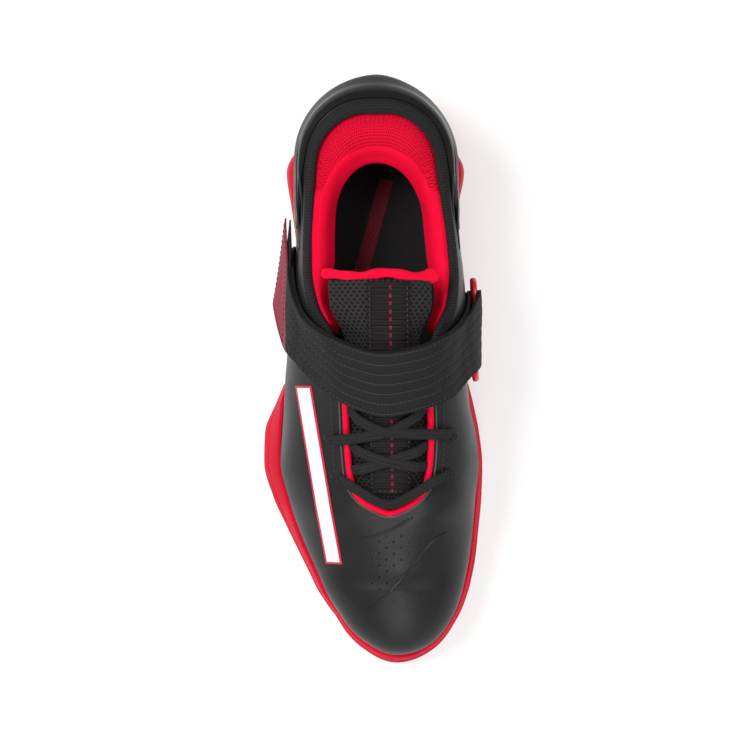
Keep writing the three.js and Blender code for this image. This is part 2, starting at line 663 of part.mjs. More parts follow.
// Laces: a row for each lace over the throat, from its lateral end to its medial end. Places are
// shares of LENGTH, w is the place over the last.
const LACE_LIFT = 2.6;
const LACE_SEAT_W = 0.66; // the laces lie on the wall here, at the eyelets
const LACE_COLUMNS = ["lateralY", "lateralW", "middleY", "medialY", "medialW"];
const LACES = {
  lace_bar_toe: [[-0.176, -0.66, -0.216, -0.166, 0.66]],
  lace_crossings: [
    [-0.165, -0.42, -0.146, -0.123, 0.42],
    [-0.121, -0.42, -0.146, -0.158, 0.42],
    [-0.113, -0.66, -0.097, -0.058, 0.42],
    [-0.063, -0.42, -0.096, -0.102, 0.66],
    [-0.056, -0.42, -0.034, -0.01, 0.42],
    [-0.01, -0.42, -0.034, -0.054, 0.42],
  ],
};
function lace(rows) {
  const strips = rows.map((row, i) => {
    const raised = LACE_LIFT + 0.1 * i;
    const liftAt = (w) => lerp(raised, CLEAR + LACE, smoothstep(Math.abs(w), ARC_V, LACE_SEAT_W));
    const r = Object.fromEntries(LACE_COLUMNS.map((name, i) => [name, row[i]]));
    const yAt = smooth([r.lateralW, 0, r.medialW], [r.lateralY, r.middleY, r.medialY]);
    const path = [...steps(r.lateralW, r.medialW, 10), r.medialW].map((w) => {
      const y = yAt(w) * LENGTH;
      const side = w < 0 ? -1 : 1;
      const n = normal(loopAt(y, side), 1 + ARC_V - Math.abs(w));
      return { p: over(y, w, liftAt(w)), n };
    });
    return toManifold(ribbon(path, LACE_WIDTH, LACE));
  });
  return fromManifold(strips.reduce((a, b) => a.add(b)));
}

// Instep strap: w is the place over the last, rear and front are its edges as shares of LENGTH.
const STRAP_COLUMNS = ["w", "rear", "front"];
const STRAP_ROWS = [
  [-1.36, 0.213, 0.068],
  [-1.2, 0.207, 0.06],
  [-0.9, 0.165, 0.028],
  [-0.6, 0.098, -0.02],
  [-0.3, 0.054, -0.05],
  [0, 0.04, -0.063],
  [0.3, 0.048, -0.054],
  [0.6, 0.074, -0.038],
  [0.85, 0.112, -0.008],
  [1.08, 0.136, 0.012],
];
const BAR_W = 1.08; // where the ring's upper bar lies
const STRAP_LIFT = 0.8; // underside of the strap over the shoe's sides
const BAR_LIFT = STRAP_LIFT + STRAP + RING_RADIUS + CLEAR;
const strapEdge = columns(STRAP_COLUMNS, STRAP_ROWS, (row) => row[0]);
const ACROSS = [0, 0.25, 0.5, 0.75, 1];
const strapRow = (w, lift) =>
  ACROSS.map((t) => over(lerp(strapEdge.front(w), strapEdge.rear(w), t) * LENGTH, w, lift));
const LACE_TOP = LACE_LIFT + 0.5 + LACE / 2;
const innerLift = (w) => lerp(LACE_TOP + 2 * CLEAR, STRAP_LIFT, smoothstep(Math.abs(w), 0.4, 0.75));
const outerLift = (w) => {
  const rest = innerLift(w) + STRAP + CLEAR;
  return lerp(rest, BAR_LIFT + RING_RADIUS + CLEAR, smoothstep(w, 0.7, BAR_W));
};

// Half turn of a band round a bar that lies at a place over the last
function fold(w, edge, sign, thickness) {
  const rows = [];
  for (const turn of steps(0, Math.PI, 8).slice(1)) {
    const ring = (radius) =>
      ACROSS.map((t) => {
        const y = edge(t);
        const centre = over(y, w, BAR_LIFT);
        const n = normal(loopAt(y, 1), 1 + ARC_V - w);
        const down = over(y, w + 0.02, BAR_LIFT).sub(over(y, w - 0.02, BAR_LIFT)).normalize();
        return centre
          .addScaledVector(n, -Math.cos(turn) * radius)
          .addScaledVector(down, sign * Math.sin(turn) * radius);
      });
    const inner = RING_RADIUS + CLEAR;
    rows.push({ face: ring(inner), back: ring(inner + thickness) });
  }
  return rows;
}

const FREE_END_W = -0.98;
function instepStrap() {
  const up = [...steps(STRAP_ROWS[0][0], BAR_W, 22), BAR_W].map((w) => ({
    face: strapRow(w, innerLift(w) + STRAP),
    back: strapRow(w, innerLift(w)),
  }));
  const edge = (t) => lerp(strapEdge.front(BAR_W), strapEdge.rear(BAR_W), t) * LENGTH;
  const back = [...steps(BAR_W, FREE_END_W, 20), FREE_END_W].map((w) => ({
    face: strapRow(w, outerLift(w)),
    back: strapRow(w, outerLift(w) + STRAP),
  }));
  return sweep([...up, ...fold(BAR_W, edge, 1, STRAP), ...back]);
}

// The strap's loose end, stiffened with a coloured tab that stands away from the shoe
const TAB_FLARE = 5.5;
const TAB_SWEEP = 0.052; // its end lies this share of LENGTH nearer the heel than its root
const TAB_END_W = -1.2;
function strapTab() {
  const ws = [...steps(FREE_END_W - 0.012, TAB_END_W, 5), TAB_END_W];
  const sections = ws.map((w) => {
    const swing = smoothstep(-w, -FREE_END_W, -TAB_END_W);
    const lift = (t) => outerLift(FREE_END_W) + TAB_FLARE * swing * lerp(1, 0.35, t);
    const row = (extra) =>
      ACROSS.map((t) => {
        const reach = lerp(strapEdge.front(w), strapEdge.rear(w), t) + TAB_SWEEP * swing;
        return over(reach * LENGTH, w, lift(t) + extra);
      });
    return { face: row(STRAP), back: row(0) };
  });
  return sweep(sections);
}

// Ring and its anchor on the medial side
const LOWER_BAR_W = 1.3;
const RING_REAR = 0.152;
const RING_FRONT = -0.012;
const RING_CORNER = 0.016;
function strapRing() {
  const corners = [
    [RING_REAR, BAR_W, 0, 1],
    [RING_FRONT, BAR_W, 1, 0],
    [RING_FRONT, LOWER_BAR_W, 0, -1],
    [RING_REAR, LOWER_BAR_W, -1, 0],
  ];
  const cornerW = 0.07;
  const path = [];
  corners.forEach(([y, w], i) => {
    const inY = y === RING_REAR ? -1 : 1;
    const inW = w === BAR_W ? 1 : -1;
    const arc = steps(0, Math.PI / 2, 3).concat(Math.PI / 2);
    const points = arc.map((a) => {
      const py = y + inY * RING_CORNER * (1 - Math.cos(a));
      const pw = w + inW * cornerW * (1 - Math.sin(a));
      return { y: py, w: pw };
    });
    path.push(...(i % 2 === 0 ? points : points.reverse()));
  });
  const straight = (a, b, count) =>
    steps(0, 1, count).slice(1).map((t) => ({ y: lerp(a.y, b.y, t), w: lerp(a.w, b.w, t) }));
  const round = [];
  path.forEach((p, i) => {
    const next = path[(i + 1) % path.length];
    round.push(p, ...straight(p, next, Math.abs(p.y - next.y) > 0.05 ? 5 : 1));
  });
  return bar(
    round.map(({ y, w }) => ({
      p: over(y * LENGTH, w, BAR_LIFT),
      n: normal(loopAt(y * LENGTH, 1), 1 + ARC_V - w),
    })),
    RING_RADIUS,
    true,
  );
}
const ANCHOR_REAR = 0.135;
const ANCHOR_FRONT = 0.02;
const ANCHOR_END_W = 1.46;
function ringAnchor() {
  const edge = (t) => lerp(ANCHOR_FRONT, ANCHOR_REAR, t) * LENGTH;
  const row = (w, lift) => ACROSS.map((t) => over(edge(t), w, lift));
  const inner = BAR_LIFT - RING_RADIUS - CLEAR;
  const outer = BAR_LIFT + RING_RADIUS + CLEAR;
  const up = steps(ANCHOR_END_W, LOWER_BAR_W, 4).map((w) => ({
    face: row(w, inner),
    back: row(w, inner - ANCHOR),
  }));
  const level = { face: row(LOWER_BAR_W, inner), back: row(LOWER_BAR_W, inner - ANCHOR) };
  const down = [...steps(LOWER_BAR_W, ANCHOR_END_W - 0.02, 4), ANCHOR_END_W - 0.02].map((w) => {
    const settle = smoothstep(w, LOWER_BAR_W, ANCHOR_END_W - 0.05);
    const lift = lerp(outer, inner + CLEAR, settle);
    return { face: row(w, lift), back: row(w, lift + ANCHOR) };
  });
  return sweep([...up, level, ...fold(LOWER_BAR_W, edge, -1, ANCHOR), ...down]);
}

// Materials
const finish = (color, roughness, metalness = 0) =>
  new THREE.MeshStandardMaterial({ color, roughness, metalness });
const redRubber = () => finish(0xb5081c, 0.55);
const redKnit = () => finish(0xcf0a28, 0.9);
const blackSkin = () => finish(0x1d1c1c, 0.5);
const blackWeb = () => finish(0x191918, 0.85);

const shoe = new THREE.Group();
const add = (name, geometry, material) => {
  const mesh = new THREE.Mesh(geometry, material);
  mesh.name = name;
  shoe.add(mesh);
};

add("outsole", outsole(), redRubber());
add("midsole", midsole(), redRubber());
add("heel_wedge", heelWedge(), finish(0xb5081c, 0.35));
add("insole", insole(), blackWeb());
add("upper", upper(), blackSkin());
add("heel_counter", heelCounter(), finish(0x161616, 0.25));
add("collar_padding", collarPadding(), redKnit());
add("throat_piping", throatPiping(), redKnit());
add("tongue", tongue(), blackWeb());
add("tongue_binding", tongueBinding(), redKnit());
add("tongue_tape", tongueTape(), blackWeb());
for (const [name, rows] of Object.entries(LACES)) add(name, lace(rows), blackWeb());
add("instep_strap", instepStrap(), blackWeb());
add("strap_tab", strapTab(), finish(0x7d1a2c, 0.6));
add("strap_ring", strapRing(), finish(0xc00a20, 0.2));
add("ring_anchor", ringAnchor(), blackWeb());

export default shoe;
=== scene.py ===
"""Right weightlifting shoe, seen from above: upper, sole, lining, laces and folded instep strap."""
import math
from bisect import bisect_right
from functools import partialmethod
from types import SimpleNamespace

import bpy
from mathutils import Matrix, Vector


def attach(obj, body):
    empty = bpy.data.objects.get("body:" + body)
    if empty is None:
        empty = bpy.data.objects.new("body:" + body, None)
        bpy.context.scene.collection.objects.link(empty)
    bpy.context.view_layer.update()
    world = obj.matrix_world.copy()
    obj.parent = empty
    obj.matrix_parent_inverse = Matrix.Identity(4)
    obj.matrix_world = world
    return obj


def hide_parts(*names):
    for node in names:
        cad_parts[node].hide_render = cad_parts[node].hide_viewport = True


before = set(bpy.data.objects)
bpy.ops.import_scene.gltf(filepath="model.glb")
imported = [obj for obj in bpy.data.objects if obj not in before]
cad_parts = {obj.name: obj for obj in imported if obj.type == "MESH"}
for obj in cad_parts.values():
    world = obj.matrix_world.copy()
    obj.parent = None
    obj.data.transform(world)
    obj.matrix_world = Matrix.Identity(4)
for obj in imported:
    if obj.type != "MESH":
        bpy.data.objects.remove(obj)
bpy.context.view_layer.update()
MM = 0.001

# Sizes of the last and the layers, in millimetres, as in the solids
LENGTH = 299.0
BALL_WIDTH = 113.0
UPPER_HEIGHT = 85.0
HEEL_STACK = 33.0
FOREFOOT_STACK = 13.5
TOE_SPRING = 6.0
WAIST_RISE = 1.2
WALL = 2.0
CLEAR = 0.3
FEATHER_INSET = 3.5
OUTSOLE = 4.2
INSOLE = 3.6
LIP = 1.6
COUNTER = 1.5
PAD_SIDE = 13.5
PAD_HEEL_DEPTH = 30.0
TONGUE = 5.0
TONGUE_HALF_WIDTH = 25.5
TONGUE_NECK = 18.8
TAPE_WIDTH = 20.5
TAPE = 0.9
PIPING_RADIUS = 1.5
LACE_WIDTH = 5.6
LACE = 1.2
STRAP = 1.6
RING_RADIUS = 1.7
ANCHOR = 1.2

# Sections from the toe tip to the heel tip: along, turn, ridge, then lateral and medial reaches of
# belly, rim and sole as shares of BALL_WIDTH.
SECTION_COLUMNS = (
    "along", "turn", "ridge", "lateralBelly", "lateralRim", "lateralSole",
    "medialBelly", "medialRim", "medialSole",
)
SECTIONS = (
    (0.0, -90, 0.111, 0.305, 0, 0.349, 0.305, 0, 0.349),
    (0.0, -60, 0.111, 0.283, 0, 0.323, 0.3, 0, 0.332),
    (0.0, -30, 0.111, 0.279, 0, 0.31, 0.287, 0, 0.312),
    (0.0, -12, 0.111, 0.299, 0, 0.337, 0.292, 0, 0.318),
    (0.0, 0, 0.111, 0.326, 0, 0.373, 0.303, 0, 0.332),
    (0.066, 0, 0.102, 0.372, 0, 0.425, 0.337, 0, 0.366),
    (0.141, 0, 0.093, 0.422, 0.04, 0.485, 0.364, 0.04, 0.39),
    (0.216, 0, 0.088, 0.463, 0.164, 0.544, 0.381, 0.164, 0.408),
    (0.296, 0, 0.086, 0.496, 0.19, 0.583, 0.398, 0.199, 0.414),
    (0.371, 0, 0.083, 0.488, 0.195, 0.576, 0.387, 0.209, 0.402),
    (0.446, 0, 0.079, 0.471, 0.195, 0.517, 0.362, 0.209, 0.377),
    (0.516, 0, 0.072, 0.457, 0.195, 0.458, 0.359, 0.209, 0.352),
    (0.596, 0, 0.066, 0.435, 0.23, 0.423, 0.363, 0.237, 0.335),
    (0.671, 0, 0.061, 0.412, 0.297, 0.403, 0.367, 0.303, 0.329),
    (0.751, 0, 0.054, 0.391, 0.322, 0.395, 0.363, 0.325, 0.329),
    (0.826, 0, 0.048, 0.377, 0.319, 0.398, 0.35, 0.319, 0.332),
    (0.911, 0, 0.041, 0.362, 0.302, 0.412, 0.335, 0.302, 0.348),
    (1.0, 0, 0.034, 0.335, 0.28, 0.428, 0.326, 0.283, 0.383),
    (1.0, 20, 0.034, 0.34, 0.268, 0.385, 0.323, 0.272, 0.353),
    (1.0, 40, 0.034, 0.351, 0.256, 0.378, 0.33, 0.26, 0.354),
    (1.0, 65, 0.034, 0.374, 0.243, 0.385, 0.358, 0.246, 0.373),
    (1.0, 90, 0.034, 0.395, 0.229, 0.394, 0.395, 0.229, 0.394),
)
# Place is a share of LENGTH from mid-length. Belly, top and crown are shares of UPPER_HEIGHT.
HEIGHT_COLUMNS = ("place", "stack", "belly", "top", "crown", "lean")
HEIGHTS = (
    (-0.5, 0, 0.075, 0.453, 0.453, 90),
    (-0.368, 0, 0.14, 0.453, 0.453, 90),
    (-0.301, 0, 0.155, 0.54, 0.54, 90),
    (-0.244, 0.01, 0.165, 0.62, 0.62, 88),
    (-0.187, 0.05, 0.17, 0.665, 0.735, 70),
    (-0.104, 0.18, 0.165, 0.741, 0.82, 58),
    (-0.033, 0.32, 0.18, 0.808, 0.906, 50),
    (0.04, 0.46, 0.205, 0.87, 0.985, 40),
    (0.1, 0.59, 0.21, 0.8, 1.045, 30),
    (0.167, 0.74, 0.21, 0.69, 1.07, 22),
    (0.251, 0.88, 0.215, 0.59, 0.87, 26),
    (0.34, 1.0, 0.215, 0.62, 0.83, 48),
    (0.425, 1.0, 0.22, 0.735, 0.78, 66),
    (0.5, 1.0, 0.22, 0.735, 0.735, 66),
)
BELLY_V = 0.25
ARC_V = 0.5
FULL_RIM = 0.16 * BALL_WIDTH
TOE_SLOPE = 0.33
TOE_Y = -LENGTH / 2 + SECTIONS[0][5] * BALL_WIDTH
HEEL_Y = LENGTH / 2 - (SECTIONS[-1][3] * BALL_WIDTH + CLEAR + COUNTER)
MIDDLE = HEEL_Y - TOE_Y
FAN = 0.35 * BALL_WIDTH * math.pi / 2
TRAVEL = 2 * FAN + MIDDLE
SPRING_Y = -0.334 * LENGTH
THROAT_Y = -0.243 * LENGTH
THROAT_ARC = 0.0555 * LENGTH


def clamp(x, low=0.0, high=1.0):
    return max(low, min(high, x))


def mix(a, b, t):
    return a + (b - a) * t


def ease(x, low, high):
    t = clamp((x - low) / (high - low))
    return t * t * (3 - 2 * t)


def bell(x, centre, width):
    """Bell of height 1."""
    return math.exp(-(((x - centre) / width) ** 2))


def span(low, high, count):
    return [mix(low, high, i / count) for i in range(count + 1)]


def smooth(xs, ys, flat_ends=False):
    """Cubic through rows that never overshoots them."""
    last = len(xs) - 1
    rise = [(ys[i + 1] - ys[i]) / (xs[i + 1] - xs[i]) for i in range(last)]
    slope = [0.0 if flat_ends else rise[0]]
    for a, b in zip(rise, rise[1:]):
        slope.append(0.0 if a * b <= 0 else 2 * a * b / (a + b))
    slope.append(0.0 if flat_ends else rise[-1])

    def value(x):
        if x <= xs[0]:
            return ys[0]
        if x >= xs[last]:
            return ys[last]
        i = bisect_right(xs, x) - 1
        h = xs[i + 1] - xs[i]
        t = (x - xs[i]) / h
        keep = 2 * t**3 - 3 * t**2 + 1
        out = t**3 - 2 * t**2 + t
        into = t**3 - t**2
        return keep * ys[i] + (1 - keep) * ys[i + 1] + h * (out * slope[i] + into * slope[i + 1])

    return value


def columns(names, rows, key, flat_ends=False):
    xs = [key(row) for row in rows]
    return {name: smooth(xs, [row[i] for row in rows], flat_ends) for i, name in enumerate(names)}


SECTION = columns(
    SECTION_COLUMNS, SECTIONS, lambda r: FAN + r[0] * MIDDLE + r[1] / 90 * FAN, flat_ends=True
)
HEIGHT = columns(HEIGHT_COLUMNS, HEIGHTS, lambda r: r[0] * LENGTH)


def toe_lift(y):
    return TOE_SPRING * max(0.0, SPRING_Y - y) / (SPRING_Y + LENGTH / 2)


def ground(y):
    waist = ease(y, -0.1 * LENGTH, 0) * (1 - ease(y, 0.06 * LENGTH, 0.15 * LENGTH))
    return toe_lift(y) + WAIST_RISE * waist


def feather(y):
    return toe_lift(y) + mix(FOREFOOT_STACK, HEEL_STACK, HEIGHT["stack"](y))


def above(y, name):
    return feather(y) + UPPER_HEIGHT * HEIGHT[name](y)


def throat_share(y):
    share = 0.0 if y < THROAT_Y + 1e-6 else min(1.0, (y - THROAT_Y) / THROAT_ARC)
    return math.sqrt(1 - (1 - share) ** 2)


def place(q):
    """Place on the loop: 0 at the toe tip, up the lateral side, TRAVEL at the heel tip."""
    loop = q % (2 * TRAVEL)
    side = -1 if loop <= TRAVEL else 1
    s = loop if side < 0 else 2 * TRAVEL - loop
    turn = (min(0.0, s - FAN) + max(0.0, s - FAN - MIDDLE)) / FAN * 90
    y = TOE_Y + clamp((s - FAN) / MIDDLE) * MIDDLE
    name = "lateral" if side < 0 else "medial"
    angle = math.radians(turn)
    reach = {part: SECTION[name + part](s) * BALL_WIDTH for part in ("Belly", "Rim", "Sole")}
    return SimpleNamespace(
        side=side, s=s, turn=turn, y=y, x=SECTION["ridge"](s) * BALL_WIDTH, open=throat_share(y),
        dx=side * math.cos(angle), dy=math.sin(angle),
        belly=reach["Belly"], rim=reach["Rim"], sole=reach["Sole"],
    )


def at(p, r, z):
    return Vector((p.x + p.dx * r, p.y + p.dy * r, z))


def travel(y):
    return FAN + clamp(y - TOE_Y, 0, MIDDLE)


def loop_at(y, side):
    return travel(y) if side < 0 else 2 * TRAVEL - travel(y)


def bezier(t, a, b, c, d):
    return a * (1 - t) ** 3 + 3 * b * t * (1 - t) ** 2 + 3 * c * t**2 * (1 - t) + d * t**3


def bare(q, v):
    """Point of the last: v is 0 on the feather line, 1 on the top edge, 1 + ARC_V on the ridge."""
    p = place(q)
    if v <= BELLY_V:
        foot = p.belly - FEATHER_INSET
        low = feather(p.y + p.dy * foot)
        mid = above(p.y + p.dy * p.belly, "belly")
        t = v / BELLY_V
        r = bezier(t, foot, p.belly - FEATHER_INSET / 3, p.belly, p.belly)
        return at(p, r, bezier(t, low, mix(low, mid, 0.15), mix(low, mid, 0.55), mid))
    rim_y = p.y + p.dy * p.rim
    top = above(rim_y, "top")
    lean = math.radians(HEIGHT["lean"](rim_y))
    slope = TOE_SLOPE * p.dy if p.turn < 0 else 0.0
    arc = ARC_V * min(1.0, p.rim / FULL_RIM)
    edge = 1 + arc * (1 - p.open)
    if v <= 1:
        girth = mix(BELLY_V, edge, (v - BELLY_V) / (1 - BELLY_V))
    else:
        girth = mix(edge, 1 + arc, (v - 1) / ARC_V)
    if girth <= 1:
        mid = above(p.y + p.dy * p.belly, "belly")
        t = (girth - BELLY_V) / (1 - BELLY_V)
        reach = 0.4 * math.hypot(p.belly - p.rim, top - mid)
        end_r = p.rim + reach * math.sin(lean)
        end_z = top - reach * math.cos(lean) + slope * reach
        r = bezier(t, p.belly, p.belly, end_r, p.rim)
        return at(p, r, bezier(t, mid, mix(mid, top, 0.5), end_z, top))
    t = (girth - 1) / arc
    crown = max(top, above(p.y, "crown"))
    rise = min(crown, top + p.rim / 3 / math.tan(lean))
    return at(p, p.rim * (1 - t), bezier(t, top, rise, crown, crown))


def normal(q, v):
    """Outward direction of the last's surface."""
    p = place(q)
    if v >= (1 + ARC_V if p.open > 0 else 1):
        name = "crown" if p.open > 0 else "top"
        fall = TOE_SLOPE if p.turn < 0 else above(p.y + 0.5, name) - above(p.y - 0.5, name)
        return Vector((0, -fall, 1)).normalized()
    step = 0.01
    low, high = (v, v + step) if v < step else (v - step, v)
    along = bare(q + 0.5, v) - bare(q - 0.5, v)
    return (bare(q, high) - bare(q, low)).cross(along).normalized()


def skin(q, v, lift=0.0):
    return bare(q, v) + normal(q, v) * lift


def over(y, w, lift=0.0):
    """Point over the last: w is -1.5 on the lateral feather line, 0 on the ridge, 1.5 medially."""
    return skin(loop_at(y, -1 if w < 0 else 1), 1 + ARC_V - abs(w), lift)


def out_of(y, w):
    return normal(loop_at(y, -1 if w < 0 else 1), 1 + ARC_V - abs(w))


def spot_over(y, w, lift):
    return over(y, w, lift), out_of(y, w)


def spot_on(q, v, lift):
    return skin(q, v, lift), normal(q, v)


def from_above(x, y, lift=0.0):
    """Point of the upper straight below or above a place in plan, with its outward side."""
    ridge = SECTION["ridge"](travel(y)) * BALL_WIDTH
    side = -1 if x < ridge else 1
    if y >= TOE_Y:
        q, reach = loop_at(y, side), abs(x - ridge)
    else:
        turn = math.atan2(TOE_Y - y, abs(x - ridge))
        s = FAN * (1 - turn / (math.pi / 2))
        q, reach = s if side < 0 else 2 * TRAVEL - s, math.hypot(x - ridge, y - TOE_Y)
    p = place(q)
    low, high = BELLY_V, 1 + ARC_V if p.open else 1.0
    for _ in range(22):
        v = (low + high) / 2
        spot = bare(q, v)
        if math.hypot(spot.x - p.x, spot.y - p.y) > reach:
            low = v
        else:
            high = v
    out = normal(q, low)
    return bare(q, low) + out * lift, out


# Building with the modeller's own tools


def deselect():
    if bpy.context.object and bpy.context.object.mode != "OBJECT":
        bpy.ops.object.mode_set(mode="OBJECT")
    bpy.ops.object.select_all(action="DESELECT")


def pick(piece):
    deselect()
    piece.select_set(True)
    bpy.context.view_layer.objects.active = piece


def modify(piece, kind, **settings):
    pick(piece)
    modifier = piece.modifiers.new(kind.title(), kind)
    for name, value in settings.items():
        setattr(modifier, name, value)
    bpy.ops.object.modifier_apply(modifier=modifier.name)


def edit(piece, *steps):
    """Runs mesh operators on all of the piece in edit mode."""
    pick(piece)
    bpy.ops.object.mode_set(mode="EDIT")
    bpy.ops.mesh.select_all(action="SELECT")
    for step, settings in steps:
        getattr(bpy.ops.mesh, step)(**settings)
    bpy.ops.object.mode_set(mode="OBJECT")


MERGE = ("remove_doubles", {"threshold": 3e-6})
OUTWARD = ("normals_make_consistent", {"inside": False})
FLIP = ("flip_normals", {})


def laid(name, us, vs, point, size, *steps):
    """A grid whose corners are laid by a function of u and v in millimetres. Its UV map has its
    real size in metres."""
    deselect()
    wide, tall = len(us) - 1, len(vs) - 1
    bpy.ops.mesh.primitive_grid_add(x_subdivisions=wide, y_subdivisions=tall, size=1, calc_uvs=True)
    piece = bpy.context.object
    piece.name = piece.data.name = name
    for vertex in piece.data.vertices:
        i = round((vertex.co.x + 0.5) * wide)
        j = round((vertex.co.y + 0.5) * tall)
        vertex.co = point(us[i], vs[j]) * MM
    for corner in piece.data.uv_layers.active.data:
        corner.uv = (corner.uv[0] * size[0] * MM, corner.uv[1] * size[1] * MM)
    edit(piece, *steps)
    return piece


def soften(piece, width, segments, angle):
    modify(
        piece, "BEVEL", width=width * MM, segments=segments, limit_method="ANGLE",
        angle_limit=math.radians(angle),
    )


def panel(name, us, vs, point, size, thickness, bevel=0.0, offset=-1.0, steps=(FLIP, MERGE)):
    """A laid grid with a wall and softened edges."""
    piece = laid(name, us, vs, point, size, *steps)
    modify(piece, "SOLIDIFY", thickness=thickness * MM, offset=offset)
    if bevel:
        soften(piece, bevel, 3, 50)
    return piece


def frames(spots, closed=False):
    """Centre, across, out and ahead along a path of points with their outward sides."""
    rows = []
    count = len(spots)
    for i, (point, out) in enumerate(spots):
        before = spots[(i - 1) % count if closed else max(0, i - 1)][0]
        after = spots[(i + 1) % count if closed else min(count - 1, i + 1)][0]
        ahead = (after - before).normalized()
        across = ahead.cross(out).normalized()
        rows.append((point, across, across.cross(ahead), ahead))
    return rows


def oval(count, flat=1.0):
    """Unit outline: flat 1 is round and a smaller value is squarer."""
    ring = []
    for k in range(count + 1):
        a = 2 * math.pi * k / count
        c, s = math.cos(a), math.sin(a)
        ring.append((math.copysign(abs(c) ** flat, c), math.copysign(abs(s) ** flat, s)))
    return ring


def swept(name, rows, half_width, half_height, outline, closed=False, bulge=None):
    """A closed skin swept along frames, with rounded ends where the path is open."""
    if closed:
        stations = [(row, 1.0) for row in rows] + [(rows[0], 1.0)]
    else:
        ends = ((0.0, 1.0), (0.55, 0.8), (0.85, 0.45), (1.0, 0.0))
        first, last = rows[0], rows[-1]
        head = [((first[0] - first[3] * half_height * e, *first[1:]), k) for e, k in ends[::-1]]
        tail = [((last[0] + last[3] * half_height * e, *last[1:]), k) for e, k in ends]
        stations = head + [(row, 1.0) for row in rows[1:-1]] + tail
    length = sum((b[0][0] - a[0][0]).length for a, b in zip(stations, stations[1:]))

    def point(i, k):
        (centre, across, out, _), scale = stations[i]
        a, b = outline[k]
        grow = bulge(i / (len(stations) - 1)) * scale if bulge else 0.0
        return (
            centre
            + across * (a * (half_width * scale + grow))
            + out * (b * (half_height * scale + grow))
        )

    girth = math.pi * (half_width + half_height)
    us, vs = list(range(len(stations))), list(range(len(outline)))
    return laid(name, us, vs, point, (length, girth), MERGE, OUTWARD)


def finished(piece, material, slot, nodes=(), angle=35):
    piece.data.materials.clear()
    piece.data.materials.append(material)
    pick(piece)
    bpy.ops.object.shade_smooth_by_angle(angle=math.radians(angle))
    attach(piece, "root")
    if nodes:
        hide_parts(*nodes)
    return piece


def joined(name, pieces):
    pick(pieces[0])
    for piece in pieces:
        piece.select_set(True)
    bpy.context.view_layer.objects.active = pieces[0]
    bpy.ops.object.join()
    pieces[0].name = pieces[0].data.name = name
    return pieces[0]


def spread(name, model, places):
    """Copies of one small piece, each turned to a place, as one mesh."""
    copies = []
    for spot in places:
        copy = model.copy()
        copy.data = model.data.copy()
        bpy.context.scene.collection.objects.link(copy)
        copy.data.transform(spot)
        copies.append(copy)
    bpy.data.objects.remove(model)
    return joined(name, copies)


def turned(centre, along, out):
    """Matrix that lays a piece's X along a direction and its Z outwards."""
    x = along.normalized()
    y = out.cross(x).normalized()
    z = x.cross(y)
    matrix = Matrix((x, y, z)).transposed().to_4x4()
    matrix.translation = centre * MM
    return matrix


STITCH_RADIUS = 0.26


def stitches(name, lines, slot, pitch, length):
    """Sewn lines: each line is a function of its share that gives a point and its outward side."""
    deselect()
    bpy.ops.mesh.primitive_uv_sphere_add(segments=6, ring_count=4, radius=1)
    model = bpy.context.object
    size = Vector((length / 2, STITCH_RADIUS * 1.2, STITCH_RADIUS)) * MM
    model.data.transform(Matrix.Diagonal(size).to_4x4())
    places = []
    for line in lines:
        spots = [line(t) for t in span(0, 1, 60)]
        reach = sum((b[0] - a[0]).length for a, b in zip(spots, spots[1:]))
        count = max(2, round(reach / pitch))
        for i in range(count):
            t = (i + 0.5) / count
            centre, out = line(t)
            ahead = line(min(1, t + 0.01))[0] - line(max(0, t - 0.01))[0]
            places.append(turned(centre, ahead, out))
    return finished(spread(name, model, places), THREAD, slot)


# Materials


class Shading:
    """A node tree with short ways to add nodes and maths."""

    def __init__(self, tree):
        self.tree = tree

    def put(self, socket, value):
        if isinstance(value, bpy.types.NodeSocket):
            self.tree.links.new(value, socket)
        else:
            socket.default_value = value

    def add(self, kind, inputs, **settings):
        node = self.tree.nodes.new(kind)
        for name, value in settings.items():
            setattr(node, name, value)
        for name, value in inputs.items():
            self.put(node.inputs[name], value)
        return node

    def maths(self, operation, *values, use_clamp=False):
        inputs = dict(enumerate(values))
        return self.add("ShaderNodeMath", inputs, operation=operation, use_clamp=use_clamp).outputs[0]

    plus = partialmethod(maths, "ADD")
    minus = partialmethod(maths, "SUBTRACT")
    times = partialmethod(maths, "MULTIPLY")
    ratio = partialmethod(maths, "DIVIDE")
    power = partialmethod(maths, "POWER")
    size = partialmethod(maths, "ABSOLUTE")
    sine = partialmethod(maths, "SINE")
    below = partialmethod(maths, "LESS_THAN")
    beyond = partialmethod(maths, "GREATER_THAN")
    cell = partialmethod(maths, "FRACT")

    def noise(self, vector, scale, detail):
        inputs = {"Vector": vector, "Scale": scale, "Detail": detail}
        return self.add("ShaderNodeTexNoise", inputs).outputs[0]

    def parts(self, vector):
        return self.add("ShaderNodeSeparateXYZ", {0: vector}).outputs

    def colour(self, factor, *colours):
        a, b = (c if isinstance(c, bpy.types.NodeSocket) else (*c, 1.0) for c in colours)
        return self.add("ShaderNodeMix", {0: factor, 6: a, 7: b}, data_type="RGBA").outputs[2]

    def ramp(self, value, low, high):
        inputs = {0: value, 1: low, 2: high}
        return self.add("ShaderNodeMapRange", inputs, clamp=True, interpolation_type="SMOOTHSTEP").outputs[0]

    def bump(self, height, strength, distance, base=None):
        inputs = {"Strength": strength, "Distance": distance, "Height": height}
        if base:
            inputs["Normal"] = base
        return self.add("ShaderNodeBump", inputs).outputs["Normal"]


